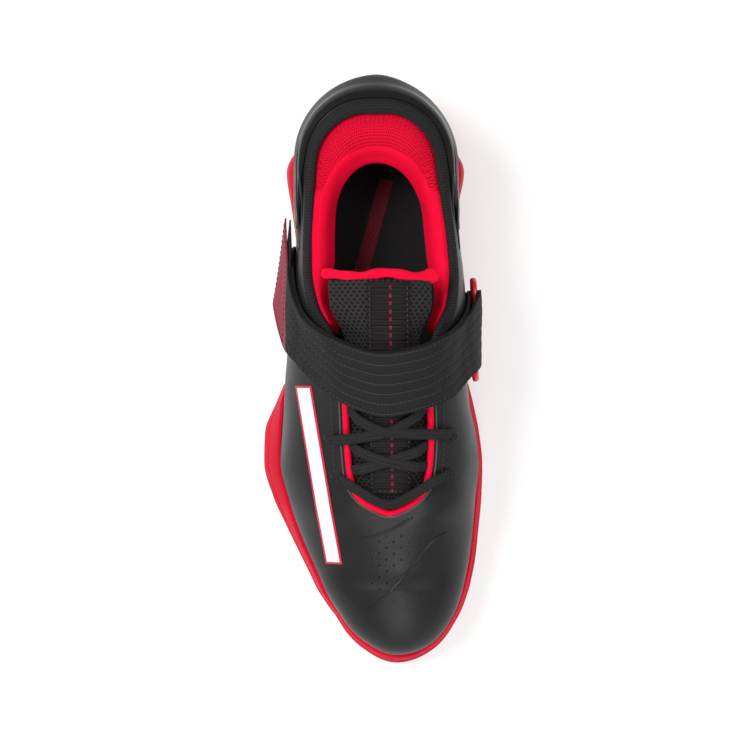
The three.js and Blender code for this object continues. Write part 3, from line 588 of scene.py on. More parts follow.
def group(name, inputs, outputs, build):
    """A shader node group with named number or vector inputs."""
    tree = bpy.data.node_groups.new(name, "ShaderNodeTree")
    for title, kind, value in inputs:
        socket = tree.interface.new_socket(name=title, in_out="INPUT", socket_type=kind)
        if value is not None:
            socket.default_value = value
    for title in outputs:
        tree.interface.new_socket(name=title, in_out="OUTPUT", socket_type="NodeSocketFloat")
    shading = Shading(tree)
    start = tree.nodes.new("NodeGroupInput")
    end = tree.nodes.new("NodeGroupOutput")
    for title, value in build(shading, start.outputs).items():
        tree.links.new(value, end.inputs[title])
    return tree


FLOAT, VECTOR = "NodeSocketFloat", "NodeSocketVector"


def build_grain(s, ins):
    """Fine pebble of coated leather with soft uneven sheen."""
    fine = s.noise(ins["Vector"], ins["Scale"], 4.0)
    cells = s.add("ShaderNodeTexVoronoi", {"Vector": ins["Vector"], "Scale": ins["Scale"]})
    pebble = s.ramp(cells.outputs["Distance"], 0.05, 0.6)
    height = s.plus(s.times(pebble, 0.6), s.times(fine, 0.4))
    broad = s.noise(ins["Vector"], 28.0, 3.0)
    return {"Height": height, "Tone": s.ramp(broad, 0.3, 0.7)}


def build_weave(s, ins):
    """Plain weave of two sets of yarns, from a map in metres."""
    parts = s.parts(ins["Vector"])
    u = s.times(s.ratio(parts[0], ins["Pitch U"]), math.pi)
    v = s.times(s.ratio(parts[1], ins["Pitch V"]), math.pi)
    cross = s.times(s.sine(u), s.sine(v))
    warp = s.times(s.size(s.sine(u)), s.ramp(cross, -0.2, 0.2))
    weft_side = s.minus(1.0, s.ramp(cross, -0.2, 0.2))
    weft = s.times(s.size(s.sine(v)), weft_side)
    height = s.plus(warp, weft)
    return {"Height": height, "Mask": s.ramp(height, 0.1, 0.7)}


HOLE_POWER = 1.5


def build_holes(s, ins):
    """Rounded diamond holes on a staggered grid, from a map in metres. Mask is 1 inside a hole."""
    parts = s.parts(ins["Vector"])

    def lattice(shift):
        reach = []
        for part, pitch in ((parts[0], ins["Pitch U"]), (parts[1], ins["Pitch V"])):
            cell = s.cell(s.plus(s.ratio(part, pitch), shift))
            reach.append(s.times(s.minus(cell, 0.5), pitch))
        powers = [s.power(s.size(r), HOLE_POWER) for r in reach]
        return s.power(s.plus(powers[0], powers[1]), 1 / HOLE_POWER)

    near = s.maths("MINIMUM", lattice(0.0), lattice(0.5))
    rim = s.minus(ins["Radius"], near)
    inside = s.ratio(rim, s.maths("MAXIMUM", s.times(ins["Radius"], 0.4), 1e-5))
    return {"Mask": s.times(inside, 1.0, use_clamp=True)}


def build_dust(s, ins):
    """Faint settled dust in soft patches."""
    broad = s.noise(ins["Vector"], 40.0, 6.0)
    return {"Mask": s.times(s.ramp(broad, 0.45, 0.75), ins["Amount"])}


VECTOR_IN = ("Vector", VECTOR, None)
PITCHES = (("Pitch U", FLOAT, 0.001), ("Pitch V", FLOAT, 0.001))
GRAIN = group("leather_grain", (VECTOR_IN, ("Scale", FLOAT, 900.0)), ("Height", "Tone"), build_grain)
WEAVE = group("plain_weave", (VECTOR_IN, *PITCHES), ("Height", "Mask"), build_weave)
HOLES = group("staggered_holes", (VECTOR_IN, *PITCHES, ("Radius", FLOAT, 0.0003)), ("Mask",), build_holes)
DUST = group("settled_dust", (VECTOR_IN, ("Amount", FLOAT, 0.3)), ("Mask",), build_dust)


class Finish:
    """A material under way: its shader, coordinates and running colour and height."""

    def __init__(self, name, colour, roughness, **sockets):
        self.material = bpy.data.materials.new(name)
        self.material.use_nodes = True
        tree = self.material.node_tree
        self.s = Shading(tree)
        self.shader = tree.nodes["Principled BSDF"]
        self.shader.inputs["Base Color"].default_value = (*colour, 1.0)
        self.shader.inputs["Roughness"].default_value = roughness
        for socket, value in sockets.items():
            self.shader.inputs[socket.replace("_", " ")].default_value = value
        coordinates = self.s.add("ShaderNodeTexCoord", {}).outputs
        self.object, self.uv = coordinates["Object"], coordinates["UV"]
        self.base, self.level = colour, None

    def use(self, tree, **inputs):
        named = {name.replace("_", " "): value for name, value in inputs.items()}
        return self.s.add("ShaderNodeGroup", named, node_tree=tree).outputs

    def tint(self, mask, colour, share=None):
        factor = mask if share is None else self.s.times(mask, share)
        self.base = self.s.colour(factor, self.base, colour)
        self.s.put(self.shader.inputs["Base Color"], self.base)

    def rough(self, factor, low, high):
        self.s.put(self.shader.inputs["Roughness"], self.s.maths("MULTIPLY_ADD", factor, high - low, low))

    def raise_by(self, height, distance, strength=1.0):
        self.level = self.s.bump(height, strength, distance, self.level)
        self.s.put(self.shader.inputs["Normal"], self.level)

    def sink(self, mask, depth):
        self.raise_by(self.s.minus(1.0, mask), depth)

    def attribute(self, name):
        return self.s.add("ShaderNodeAttribute", {}, attribute_name=name).outputs["Fac"]


def lit(colour, share):
    return tuple(c * share for c in colour)


BLACK_SKIN = (0.0088, 0.0085, 0.0087)
RED_RUBBER = (0.5, 0.0022, 0.02)
RED_KNIT = (0.62, 0.0012, 0.026)
BLACK_YARN = (0.0085, 0.0082, 0.0085)
LOW_GLOSS = 0.08


def skin_finish(name, colour, roughness, grain=0.00006, gloss=0.2):
    """Coated leather: pebble grain, uneven sheen and a trace of dust."""
    f = Finish(name, colour, roughness, Specular_IOR_Level=gloss)
    grained = f.use(GRAIN, Vector=f.object, Scale=1100.0)
    dust = f.use(DUST, Vector=f.object, Amount=0.25)
    f.tint(grained["Tone"], lit(colour, 1.5), 0.35)
    f.tint(dust["Mask"], (0.06, 0.056, 0.053), 0.1)
    f.rough(grained["Tone"], roughness - 0.05, roughness + 0.07)
    f.raise_by(grained["Height"], grain)
    return f


def upper_finish():
    f = skin_finish("upper_coated_leather", BLACK_SKIN, 0.4)
    radius = f.s.times(f.attribute("perforation"), 0.00098)
    moved = f.s.add("ShaderNodeMapping", {"Vector": f.object, "Location": (-0.0086, 0.0822, 0.0)})
    lattice = {"Vector": moved.outputs[0], "Pitch_U": 0.0074, "Pitch_V": 0.0061}
    rims = f.use(HOLES, **lattice, Radius=f.s.times(radius, 1.45))
    f.tint(rims["Mask"], (0.05, 0.05, 0.05), 0.5)
    holes = f.use(HOLES, **lattice, Radius=radius)
    # Painted shade: the pinholes are coloured near black for the shade inside them.
    f.tint(holes["Mask"], (0.0008, 0.0008, 0.0008))
    f.sink(holes["Mask"], 0.0007)
    return f.material


def rubber_finish(name, colour, roughness):
    """Moulded rubber: fine spark texture, soft tone changes and faint dust in soft patches."""
    f = Finish(name, colour, roughness, Specular_IOR_Level=0.04)
    grained = f.use(GRAIN, Vector=f.object, Scale=1700.0)
    dust = f.use(DUST, Vector=f.object, Amount=0.5)
    f.tint(grained["Tone"], lit(colour, 0.72), 0.3)
    f.tint(dust["Mask"], (0.5, 0.2, 0.22), 0.05)
    f.rough(grained["Tone"], roughness, roughness + 0.12)
    f.raise_by(grained["Height"], 0.00004)
    return f


def tread_finish():
    f = rubber_finish("outsole_tread_rubber", RED_RUBBER, 0.55)
    fine = f.use(WEAVE, Vector=f.object, Pitch_U=0.0032, Pitch_V=0.0032)
    f.raise_by(fine["Height"], 0.0004, 0.8)
    # Painted shade: the lows of the fine tread pattern are coloured darker red.
    f.tint(f.s.minus(1.0, fine["Mask"]), (0.3, 0.002, 0.01), 0.5)
    return f.material


def cloth_finish(name, colour, pitch_u, pitch_v, depth, roughness=0.85, lift=1.9):
    """Yarn-made cloth: weave from the piece's own map, lighter yarn tops as a painted highlight, and stray
    fibres.
    """
    f = Finish(name, colour, roughness, Specular_IOR_Level=LOW_GLOSS)
    woven = f.use(WEAVE, Vector=f.uv, Pitch_U=pitch_u, Pitch_V=pitch_v)
    fibres = f.s.noise(f.object, 2600.0, 3.0)
    # Painted highlight: the yarn tops are coloured lighter, by lift, than the painted shade between them.
    f.tint(woven["Mask"], lit(colour, lift), 0.8)
    shade = f.s.ramp(fibres, 0.35, 0.7)
    f.tint(shade, lit(colour, 0.6), 0.25)
    f.raise_by(woven["Height"], depth)
    f.raise_by(fibres, depth * 0.4)
    return f


def lining_finish():
    """Padded lining: smooth knit with rows of fine holes at the heel."""
    f = cloth_finish("lining_red_knit", RED_KNIT, 0.0009, 0.0009, 0.00008, 0.8, 1.12)
    radius = f.s.times(f.attribute("mesh_panel"), 0.00062)
    turned_map = f.s.add("ShaderNodeMapping", {"Vector": f.uv, "Rotation": (0.0, 0.0, 0.6)}).outputs[0]
    holes = f.use(HOLES, Vector=turned_map, Pitch_U=0.0036, Pitch_V=0.0024, Radius=radius)
    f.tint(f.attribute("mesh_panel"), (0.36, 0.001, 0.012), 0.35)
    # Painted shade: the fine holes are coloured dark red for the shade inside them.
    f.tint(holes["Mask"], (0.13, 0.0006, 0.004), 0.85)
    f.sink(holes["Mask"], 0.0005)
    return f.material


def tongue_finish():
    """Coarse spacer mesh with open cells."""
    f = Finish("tongue_spacer_mesh", BLACK_YARN, 0.7, Specular_IOR_Level=0.2)
    holes = f.use(HOLES, Vector=f.uv, Pitch_U=0.0036, Pitch_V=0.0025, Radius=0.0009)
    fibres = f.s.noise(f.object, 2200.0, 3.0)
    f.tint(f.s.ramp(fibres, 0.3, 0.75), (0.026, 0.021, 0.021))
    # Painted shade: the open cells are coloured near black for the shade inside them.
    f.tint(holes["Mask"], (0.0012, 0.001, 0.001))
    f.sink(holes["Mask"], 0.0007)
    f.raise_by(fibres, 0.00008)
    return f.material


def tape_finish():
    """Ribbed tape with a plain column of fine red ticks."""
    f = cloth_finish("tape_ribbed_cloth", (0.0066, 0.0054, 0.0057), 0.0014, 0.02, 0.0004, 0.6, 2.2)
    parts = f.s.parts(f.uv)
    cell = f.s.cell(f.s.ratio(parts[0], 0.0036))
    tick = f.s.times(f.s.beyond(cell, 0.3), f.s.below(cell, 0.78))
    middle = f.s.minus(parts[1], 0.0112)
    column = f.s.below(f.s.size(middle), 0.00055)
    f.tint(f.s.times(tick, column), (0.26, 0.008, 0.03), 0.85)
    return f.material


BAND_TURN = -0.27
BAND_CENTRE = (0.0012, 0.0735, 0.0)


def insole_finish():
    """Fine knit sock liner with a plain halftone band."""
    f = cloth_finish("insole_fine_knit", (0.0095, 0.0082, 0.0088), 0.0012, 0.0012, 0.0001, 0.85, 1.6)
    turn = {"Vector": f.object, "Location": BAND_CENTRE, "Rotation": (0.0, 0.0, BAND_TURN)}
    moved = f.s.add("ShaderNodeMapping", turn, vector_type="TEXTURE").outputs[0]
    parts = f.s.parts(moved)
    inside_x = f.s.below(f.s.size(parts[0]), 0.0036)
    inside_y = f.s.below(f.s.size(parts[1]), 0.025)
    dots = f.use(HOLES, Vector=moved, Pitch_U=0.0015, Pitch_V=0.0015, Radius=0.0005)
    print_mask = f.s.times(f.s.times(inside_x, inside_y), dots["Mask"])
    f.tint(print_mask, (0.3, 0.006, 0.03), 0.8)
    return f.material


def plain_finish(name, colour, roughness):
    """Smooth surface with a slight unevenness."""
    f = Finish(name, colour, roughness)
    grained = f.use(GRAIN, Vector=f.object, Scale=500.0)
    f.tint(grained["Tone"], lit(colour, 0.75), 0.2)
    f.rough(grained["Tone"], roughness, roughness + 0.08)
    f.raise_by(grained["Height"], 0.00002)
    return f.material


UPPER = upper_finish()
SHELL = skin_finish("counter_gloss_shell", (0.0062, 0.0062, 0.0065), 0.22, 0.00002, 0.15).material
MIDSOLE = rubber_finish("midsole_red_foam", RED_RUBBER, 0.5).material
WEDGE = rubber_finish("heel_red_shell", RED_RUBBER, 0.34).material
TREAD = tread_finish()
LINING = lining_finish()
PIPING = cloth_finish("piping_red_cord", RED_KNIT, 0.0008, 0.0012, 0.0001, 0.7, 1.1).material
BINDING = cloth_finish("binding_red_knit", RED_KNIT, 0.0012, 0.0014, 0.00022, 0.85, 1.15).material
TRIM = cloth_finish("collar_black_knit", (0.0085, 0.008, 0.008), 0.0016, 0.0016, 0.0004, 0.85, 2.8).material
MESH = tongue_finish()
TAPE_CLOTH = tape_finish()
LACE_BRAID = cloth_finish("lace_flat_braid", BLACK_YARN, 0.0011, 0.0009, 0.00022, 0.75, 2.6).material
WEBBING = cloth_finish("strap_webbing", (0.0092, 0.0088, 0.0086), 0.0008, 0.0007, 0.00008, 0.6, 1.7).material
FUZZ = cloth_finish("strap_loop_pile", (0.009, 0.009, 0.009), 0.0019, 0.0015, 0.0005, 0.95, 2.8).material
TAB_FACE = skin_finish("tab_dull_red", (0.17, 0.012, 0.028), 0.5).material
RING = plain_finish("ring_red_gloss", (0.58, 0.002, 0.018), 0.16)
THREAD = plain_finish("black_thread", (0.016, 0.015, 0.015), 0.6)
EDGE = plain_finish("cut_leather_edge", (0.05, 0.047, 0.046), 0.6)
MARK_WHITE = plain_finish("side_band_white", (0.58, 0.58, 0.62), 0.36)
MARK_RED = plain_finish("side_band_red", (0.42, 0.003, 0.03), 0.4)
INSOLE_CLOTH = insole_finish()

# Columns round the last, close together at the throat's round end
SIDE_TRAVEL = (
    span(0, FAN, 34)[:-1]
    + span(FAN, travel(THROAT_Y), 22)[:-1]
    + [travel(THROAT_Y + THROAT_ARC * (1 - math.cos(a))) for a in span(0, math.pi / 2, 22)][:-1]
    + span(travel(THROAT_Y + THROAT_ARC), FAN + MIDDLE, 96)[:-1]
    + span(FAN + MIDDLE, TRAVEL, 34)
)
ROUND = SIDE_TRAVEL + [2 * TRAVEL - s for s in SIDE_TRAVEL[::-1][1:]]


def loop_from(y):
    return [q for q in ROUND if place(q).s >= travel(y) - 1e-6]


# Upper

VAMP_LINES = {
    "upper_vamp_edge": ((-5.5, -83.9), (1.0, -82.7), (9.0, -79.9), (21.5, -73.2)),
    "lower_vamp_edge": (
        (-2.6, -121.6), (4.0, -116.6), (13.0, -107.9), (22.0, -97.0), (31.0, -86.0), (34.6, -83.0),
        (38.4, -81.2),
    ),
}
CREASES = (
    # place along the shoe, w, run along, run across, depth
    (-60.0, -0.95, 9.0, 0.22, 0.4),
    (-56.0, 0.95, 9.0, 0.2, 0.4),
    (-28.0, -1.12, 10.0, 0.16, 0.5),
    (4.0, -1.1, 12.0, 0.2, 0.5),
    (52.0, -0.9, 12.0, 0.16, 0.5),
    (56.0, 0.92, 12.0, 0.16, 0.5),
)


def from_line(x, y, line):
    """Distance in plan to a chain of straight stretches."""
    best = 1e9
    for (ax, ay), (bx, by) in zip(line, line[1:]):
        dx, dy = bx - ax, by - ay
        t = clamp(((x - ax) * dx + (y - ay) * dy) / (dx * dx + dy * dy))
        best = min(best, math.hypot(x - ax - t * dx, y - ay - t * dy))
    return best


def relief(q, v):
    """Height of the leather over the last: soft hollows and the fall to the collar's edge."""
    p = place(q)
    w = p.side * (1 + ARC_V - v)
    lift = 0.0
    for y, at_w, run, wide, depth in CREASES:
        near = ((p.y - y) / run) ** 2 + ((w - at_w) / wide) ** 2
        if near < 6:
            lift -= depth * math.exp(-near)
    if p.y > PAD_START_Y:
        lift -= 0.7 * ease(v, 0.9, 0.93)
    return lift


PAD_START_Y = 0.05 * LENGTH
# The top of the toe is smoothed, with a soft start
TOE_FROM_Y = (96, 106)
TOE_FROM_Z = (24, 31)
WALL_VS = span(0, BELLY_V, 12)[:-1] + span(BELLY_V, 0.9, 40)[:-1] + span(0.9, 1.0, 12)


def perforation(spot):
    """How open the pinholes are on the vamp and the medial side."""
    lower = VAMP_LINES["lower_vamp_edge"]
    middle = from_line(spot.x, spot.y, ((11.5, -84.0), (8.0, -104.0)))
    size = 1.0 - ease(middle, 2.0, 19.0)
    size *= ease(from_line(spot.x, spot.y, lower), 2.5, 4.5)
    size *= ease(from_line(spot.x, spot.y, VAMP_LINES["upper_vamp_edge"]), 1.5, 3.0)
    above_top = spot.y > -79.0
    side = from_line(spot.x, spot.y, ((37.5, -14.0), (38.0, -72.0)))
    return max(0.0 if above_top else size, 0.5 * (1.0 - ease(side, 4.0, 8.0)))


def make_upper():
    piece = laid(
        "upper_shell", ROUND, WALL_VS, lambda q, v: skin(q, v, relief(q, v)),
        (2 * TRAVEL, 80.0), FLIP, MERGE,
    )
    toe = piece.vertex_groups.new(name="toe")
    for vertex in piece.data.vertices:
        spot = vertex.co / MM
        toe.add([vertex.index], ease(-spot.y, *TOE_FROM_Y) * ease(spot.z, *TOE_FROM_Z), "REPLACE")
    modify(piece, "SMOOTH", factor=0.5, iterations=14, vertex_group="toe")
    modify(piece, "SOLIDIFY", thickness=(WALL - 0.4) * MM, offset=-1.0)
    holes = piece.data.attributes.new("perforation", "FLOAT", "POINT")
    spots = [vertex.co / MM for vertex in piece.data.vertices]
    holes.data.foreach_set("value", [perforation(spot) if spot.y < 0 else 0.0 for spot in spots])
    finished(piece, UPPER, "upper_skin", ("upper",))
    for name, line in VAMP_LINES.items():
        rows = frames([from_above(x, y, 0.05) for x, y in smooth_chain(line, 50)])
        edge = swept(
            name, rows, 0.75, 0.6, oval(8),
            bulge=lambda share: -0.4 * (1 - math.sin(math.pi * share) ** 0.5),
        )
        finished(edge, UPPER, "upper_skin")


def smooth_chain(points, count):
    """Even samples of a smooth line through points in plan."""
    steps = [0.0]
    for (ax, ay), (bx, by) in zip(points, points[1:]):
        steps.append(steps[-1] + math.hypot(bx - ax, by - ay))
    xs, ys = (smooth(steps, [point[i] for point in points]) for i in (0, 1))
    return [(xs(s), ys(s)) for s in span(0, steps[-1], count)]


def throat_edge():
    """The leather's pale cut edge along the piping."""
    rows = frames([(skin(q, 0.985, 0.12), normal(q, 0.97)) for q in throat_loop()])
    return finished(swept("throat_cut_edge", rows, 0.42, 0.36, oval(8)), EDGE, "upper_skin")


def edge_line(side, low_y, high_y, v, lift):
    """A line along the shoe at one height of the wall."""
    return lambda t: spot_on(loop_at(mix(low_y, high_y, t), side), v, lift)


def collar_trim():
    """Knit band along the collar's edge: flat outside and rolled over the top."""
    loop = loop_from(PAD_START_Y - 6)
    profile = [(v, CLEAR) for v in span(0.905, 0.985, 8)]

    def point(q, row):
        if row < len(profile):
            v, lift = profile[row]
            return skin(q, v, lift - 0.9 * (1 - ease(v, 0.905, 0.93)))
        a = (row - len(profile)) / 10 * math.pi
        centre = skin(q, 1, -WALL / 2)
        up = (bare(q, 1) - bare(q, 0.97)).normalized()
        return centre + normal(q, 1) * (1.32 * math.cos(a)) + up * (1.1 * math.sin(a))

    rows = list(range(len(profile) + 11))
    piece = panel("collar_knit_trim", loop, rows, point, (330, 14), 0.5, offset=0.0)
    return finished(piece, TRIM, "lining_knit")


BAND_ENDS = ((-32.5, -8.0), (-18.5, -96.0))


def side_bands():
    """A plain straight band along the lateral side: white over a slightly wider red one."""
    (ax, ay), (bx, by) = BAND_ENDS
    for name, half, ends, lift, finish in (
        ("side_band_edge", 4.3, 1.1, 0.12, MARK_RED),
        ("side_band_face", 3.3, 0.0, 0.3, MARK_WHITE),
    ):
        def point(t, side, half=half, ends=ends, lift=lift):
            y = mix(ay + ends, by - ends, t)
            x = mix(ax, bx, (y - ay) / (by - ay)) + side * half
            return from_above(x, y, lift)[0]

        size = (ay - by, 9.0)
        piece = panel(
            name, span(0, 1, 70), span(-1, 1, 10), point, size, 0.5, 0.12, steps=(OUTWARD, MERGE), offset=0.0
        )
        finished(piece, finish, "upper_skin")


# Heel counter

COUNTER_LATERAL_Y = 0.235 * LENGTH
COUNTER_TOP = 0.9
COUNTER_END = 0.62
COUNTER_TAPER = 0.12 * LENGTH
# Moulded ribs: height on the wall, front end, half width
CUP_RIBS = ((0.83, 76.0, 1.5), (0.74, 60.0, 1.1))
CUP_RIB_RUN = 62
LIP_FULL = 0.053 * BALL_WIDTH


def lip_v(p):
    return 0.9 * BELLY_V * clamp((p.sole - p.belly) / LIP_FULL, 0.12, 1)


def make_counter():
    loop = loop_from(COUNTER_LATERAL_Y)

    def point(q, t):
        p = place(q)
        back = clamp((p.s - travel(COUNTER_LATERAL_Y)) / COUNTER_TAPER)
        v = mix(lip_v(p) + 0.03, mix(COUNTER_END, COUNTER_TOP, math.sqrt(back)), t)
        front = 0.35 + 0.65 * ease(back, 0.0, 0.35)
        ridge = 0.8 * bell(v, 0.6, 0.045) * back
        hollow = 0.5 * bell(v, 0.72, 0.05) * back
        edge = COUNTER * 0.55 * ease(t, 0.93, 1.0)
        return skin(q, v, CLEAR + COUNTER * front + ridge - hollow - edge)

    piece = panel(
        "heel_cup", loop, span(0, 1, 60), point, (190, 55), COUNTER * 0.6, 0.3
    )
    finished(piece, SHELL, "counter_shell", ("heel_counter",))
    ribs = []
    for v, low_y, width in CUP_RIBS:
        loop = [q for q in ROUND if 0 <= place(q).s - travel(low_y) <= CUP_RIB_RUN]
        for side in (-1, 1):
            row = [q for q in loop if place(q).side == side][::-side]
            spots = []
            for q in row:
                run = place(q).s - travel(low_y)
                rise = ease(run, 8, 24) * (1 - 0.35 * ease(run, 44, CUP_RIB_RUN))
                spots.append(spot_on(q, v, CLEAR - 0.2 + COUNTER * 0.8 * rise))
            ribs.append(swept(
                "rib", frames(spots), width, 0.75, oval(12),
                bulge=lambda share, width=width: -0.85 * width * (1 - math.sin(math.pi * share) ** 0.5),
            ))
    return finished(joined("heel_cup_ribs", ribs), SHELL, "counter_shell")


# Collar padding

ANKLE_Y = 0.247 * LENGTH
PAD_LOW_V = 0.42
PAD_PROUD = 1.6


def pad_edge(q):
    p = place(q)
    full = ease(p.y, 0.11 * LENGTH, 0.19 * LENGTH)
    if p.s < travel(ANKLE_Y):
        return at(p, p.rim - mix(0.6 * PAD_SIDE, PAD_SIDE, full), 0)
    ankle = place(loop_at(ANKLE_Y, p.side))
    angle = (p.s - travel(ANKLE_Y)) / (TRAVEL - travel(ANKLE_Y)) * math.pi / 2
    reach = (ankle.rim - PAD_SIDE) * math.cos(angle)
    x = mix(ankle.x, p.x, angle / 2) + p.side * reach
    return Vector((x, ANKLE_Y + PAD_HEEL_DEPTH * math.sin(angle), 0))


def pad_section(q):
    """Closed section of the padding: up the wall, over the crest and down the inside."""
    wall = [skin(q, clamp(v, PAD_LOW_V, 1), -(WALL + CLEAR)) for v in (0.42, 0.53, 0.67, 0.84, 1)]
    rim = wall[-1]
    edge = pad_edge(q)
    crest = rim.lerp(Vector((edge.x, edge.y, rim.z)), 0.22)
    crest.z += PAD_PROUD
    low = wall[0]
    inner = Vector((edge.x, edge.y, mix(low.z, rim.z, 0.42)))
    below = low.lerp(Vector((edge.x, edge.y, low.z)), 0.35)

    def bow(t, rise):
        spot = inner.lerp(crest, t)
        return Vector((spot.x, spot.y, mix(inner.z, crest.z, rise)))

    lip = rim.lerp(crest, 0.5) + Vector((0, 0, 0.3))
    return [*wall, lip, crest, bow(0.72, 0.98), bow(0.38, 0.8), bow(0.12, 0.45), inner, below]


def closed_curve(points, count):
    """Samples of a smooth closed curve through points."""
    total = len(points)
    samples = []
    for i in range(count + 1):
        place_on = (i % count) / count * total
        k = int(place_on)
        t = place_on - k
        a, b, c, d = (points[(k + n) % total] for n in (-1, 0, 1, 2))
        samples.append(
            b
            + (c - a) * (0.5 * t)
            + (a * 2 - b * 5 + c * 4 - d) * (0.5 * t * t)
            + (b * 3 - a - c * 3 + d) * (0.5 * t**3)
        )
    return samples


PAD_RING = 44
WALL_CORNERS = 18
MESH_CENTRE = (4.2, 84.0)
MESH_SINK = 0.7
PAD_SLACK = 0.5
PUFF_CAP = 2.2


def puff(piece, held, cap):
    """Fills a soft piece by cloth simulation, with the held corners fixed and a cap on all moves."""
    before = [vertex.co.copy() for vertex in piece.data.vertices]
    fixed = piece.vertex_groups.new(name="held")
    fixed.add(held, 1.0, "REPLACE")
    modifier = piece.modifiers.new("Cloth", "CLOTH")
    cloth = modifier.settings
    cloth.quality = 5
    cloth.use_pressure = True
    cloth.uniform_pressure_force = 4.0
    cloth.effector_weights.gravity = 0.0
    cloth.vertex_group_mass = "held"
    cloth.tension_stiffness = 12.0
    cloth.bending_stiffness = 0.6
    scene = bpy.context.scene
    for number in range(1, 21):
        scene.frame_set(number)
    pick(piece)
    bpy.ops.object.modifier_apply(modifier=modifier.name)
    scene.frame_set(1)
    for vertex, start in zip(piece.data.vertices, before):
        move = vertex.co - start
        if move.length > cap * MM:
            vertex.co = start + move.normalized() * cap * MM


def make_lining():
    all_round = loop_from(PAD_START_Y)
    loop = all_round[::2]
    if loop[-1] != all_round[-1]:
        loop.append(all_round[-1])
    rings = {}
    for i, q in enumerate(loop):
        ring = closed_curve(pad_section(q), PAD_RING)
        centre = sum(ring[:-1], Vector((0, 0, 0))) / PAD_RING
        end = min(i, len(loop) - 1 - i)
        shrink = (0.0, 0.55, 0.85, 0.96)[end] if end < 4 else 1.0
        soft = 1.0 - PAD_SLACK / 12.0
        rings[q] = [centre + (point - centre) * (shrink * soft) for point in ring]
    piece = laid(
        "collar_lining", loop, list(range(PAD_RING + 1)), lambda q, k: rings[q][k],
        (330, 90), MERGE, OUTWARD,
    )
    def key(spot):
        return tuple(round(c, 6) for c in spot)

    wall_side = {key(point * MM) for q in loop for point in rings[q][:WALL_CORNERS]}
    held = [vertex.index for vertex in piece.data.vertices if key(vertex.co) in wall_side]
    puff(piece, held, PUFF_CAP)
    modify(piece, "SUBSURF", levels=1, render_levels=1)
    panel_mask = piece.data.attributes.new("mesh_panel", "FLOAT", "POINT")
    values = []
    for vertex in piece.data.vertices:
        x, y, z = vertex.co / MM
        reach = math.hypot(x - MESH_CENTRE[0], y - MESH_CENTRE[1])
        values.append(ease(reach, 26.0, 27.5) * ease(y, 86.0, 92.0) if z > 70 else 0.0)
    for vertex, value in zip(piece.data.vertices, values):
        vertex.co -= vertex.normal * (MESH_SINK * MM * value)
    panel_mask.data.foreach_set("value", values)
    finished(piece, LINING, "lining_knit", ("collar_padding",), angle=60)


# Piping round the throat

PIPING_END_Y = 0.035 * LENGTH


def throat_loop():
    """Columns round the throat's edge, from its lateral end round the toe to its medial end."""
    side = [q for q in SIDE_TRAVEL if THROAT_Y - 1e-6 < place(q).y < PIPING_END_Y and place(q).turn == 0]
    return side[:0:-1] + [side[0]] + [2 * TRAVEL - q for q in side[1:]]


def make_piping():
    spots = []
    for q in throat_loop():
        p = place(q)
        inward = (bare(q, 1) - bare(q, 0.97)).normalized() * p.open
        ahead = 1 - p.open
        back = (inward + Vector((0, ahead, ahead / 3))).normalized()
        spots.append((skin(q, 1, -WALL / 2) + back * (PIPING_RADIUS + 2 * CLEAR - 0.5), normal(q, 1)))
    piece = swept("throat_piping_cord", frames(spots), 1.75, 1.75, oval(14))
    return finished(piece, PIPING, "piping_cord", ("throat_piping",))


# Tongue, its tape and its binding

TONGUE_TOP_Y = 0.15 * LENGTH
TONGUE_TUCK = 0.16
TONGUE_FREE_Y = -0.02 * LENGTH
TONGUE_SINK = WALL / 2 + PIPING_RADIUS + 2 * CLEAR
TONGUE_DROP = 9.0
TONGUE_LOW_Y = THROAT_Y + 0.016 * LENGTH
TONGUE_EDGE = 0.85


def tongue_point(y, t, drop=0.0):
    free = ease(y, TONGUE_FREE_Y, TONGUE_FREE_Y + 0.05 * LENGTH)
    spine = place(loop_at(y, -1)).x
    reach = mix(TONGUE_NECK, TONGUE_HALF_WIDTH, ease(y, 0.05 * LENGTH, 0.115 * LENGTH))
    middle = mix(TONGUE_SINK, 0.4, ease(y, THROAT_Y, THROAT_Y + 1.4 * THROAT_ARC))
    share = abs(t)
    if share <= TONGUE_EDGE:
        w = share / TONGUE_EDGE * ARC_V
    else:
        w = ARC_V + (share - TONGUE_EDGE) / (1 - TONGUE_EDGE) * TONGUE_TUCK
    sink = mix(middle, TONGUE_SINK, ease(w / ARC_V, 0.3, 0.8))
    tucked = over(y, -w if t < 0 else w, -sink - drop)
    crown = above(y, "crown") - 0.4 - drop
    loose = Vector((spine + t * reach, y, crown - TONGUE_DROP * share**2.4))
    return tucked.lerp(loose, free)


def tongue_wave(y, t):
    """Soft waves of the free end."""
    return 0.7 * ease(y, 0, TONGUE_TOP_Y) * math.sin(5.0 * t + 0.6) * math.cos(y / 11.0)


def make_tongue():
    piece = panel(
        "tongue_body", span(TONGUE_LOW_Y, TONGUE_TOP_Y, 76), span(-1, 1, 44),
        lambda y, t: tongue_point(y, t, -tongue_wave(y, t)), (112, 44), TONGUE - 0.6, 1.6,
        steps=(OUTWARD, MERGE),
    )
    finished(piece, MESH, "tongue_mesh", ("tongue",), angle=50)


def make_binding():
    """Knit roll over the tongue's top, with a curled bead at its medial end."""
    spots = []
    for t in span(-1.02, 1.04, 60):
        spot = tongue_point(TONGUE_TOP_Y, clamp(t, -1, 1), TONGUE / 2)
        spot += Vector((t * 0.6, 2.4 + 0.9 * math.sin(5.5 * t + 0.8), 0.5 * math.sin(4 * t)))
        spots.append((spot, Vector((0, 0, 1))))

    def bulge(share):
        return 1.5 * bell(share, 0.94, 0.05) + 0.25 * math.sin(share * 30)

    piece = swept("tongue_top_binding", frames(spots), 2.5, 2.7, oval(16), bulge=bulge)
    return finished(piece, BINDING, "binding_knit", ("tongue_binding",))


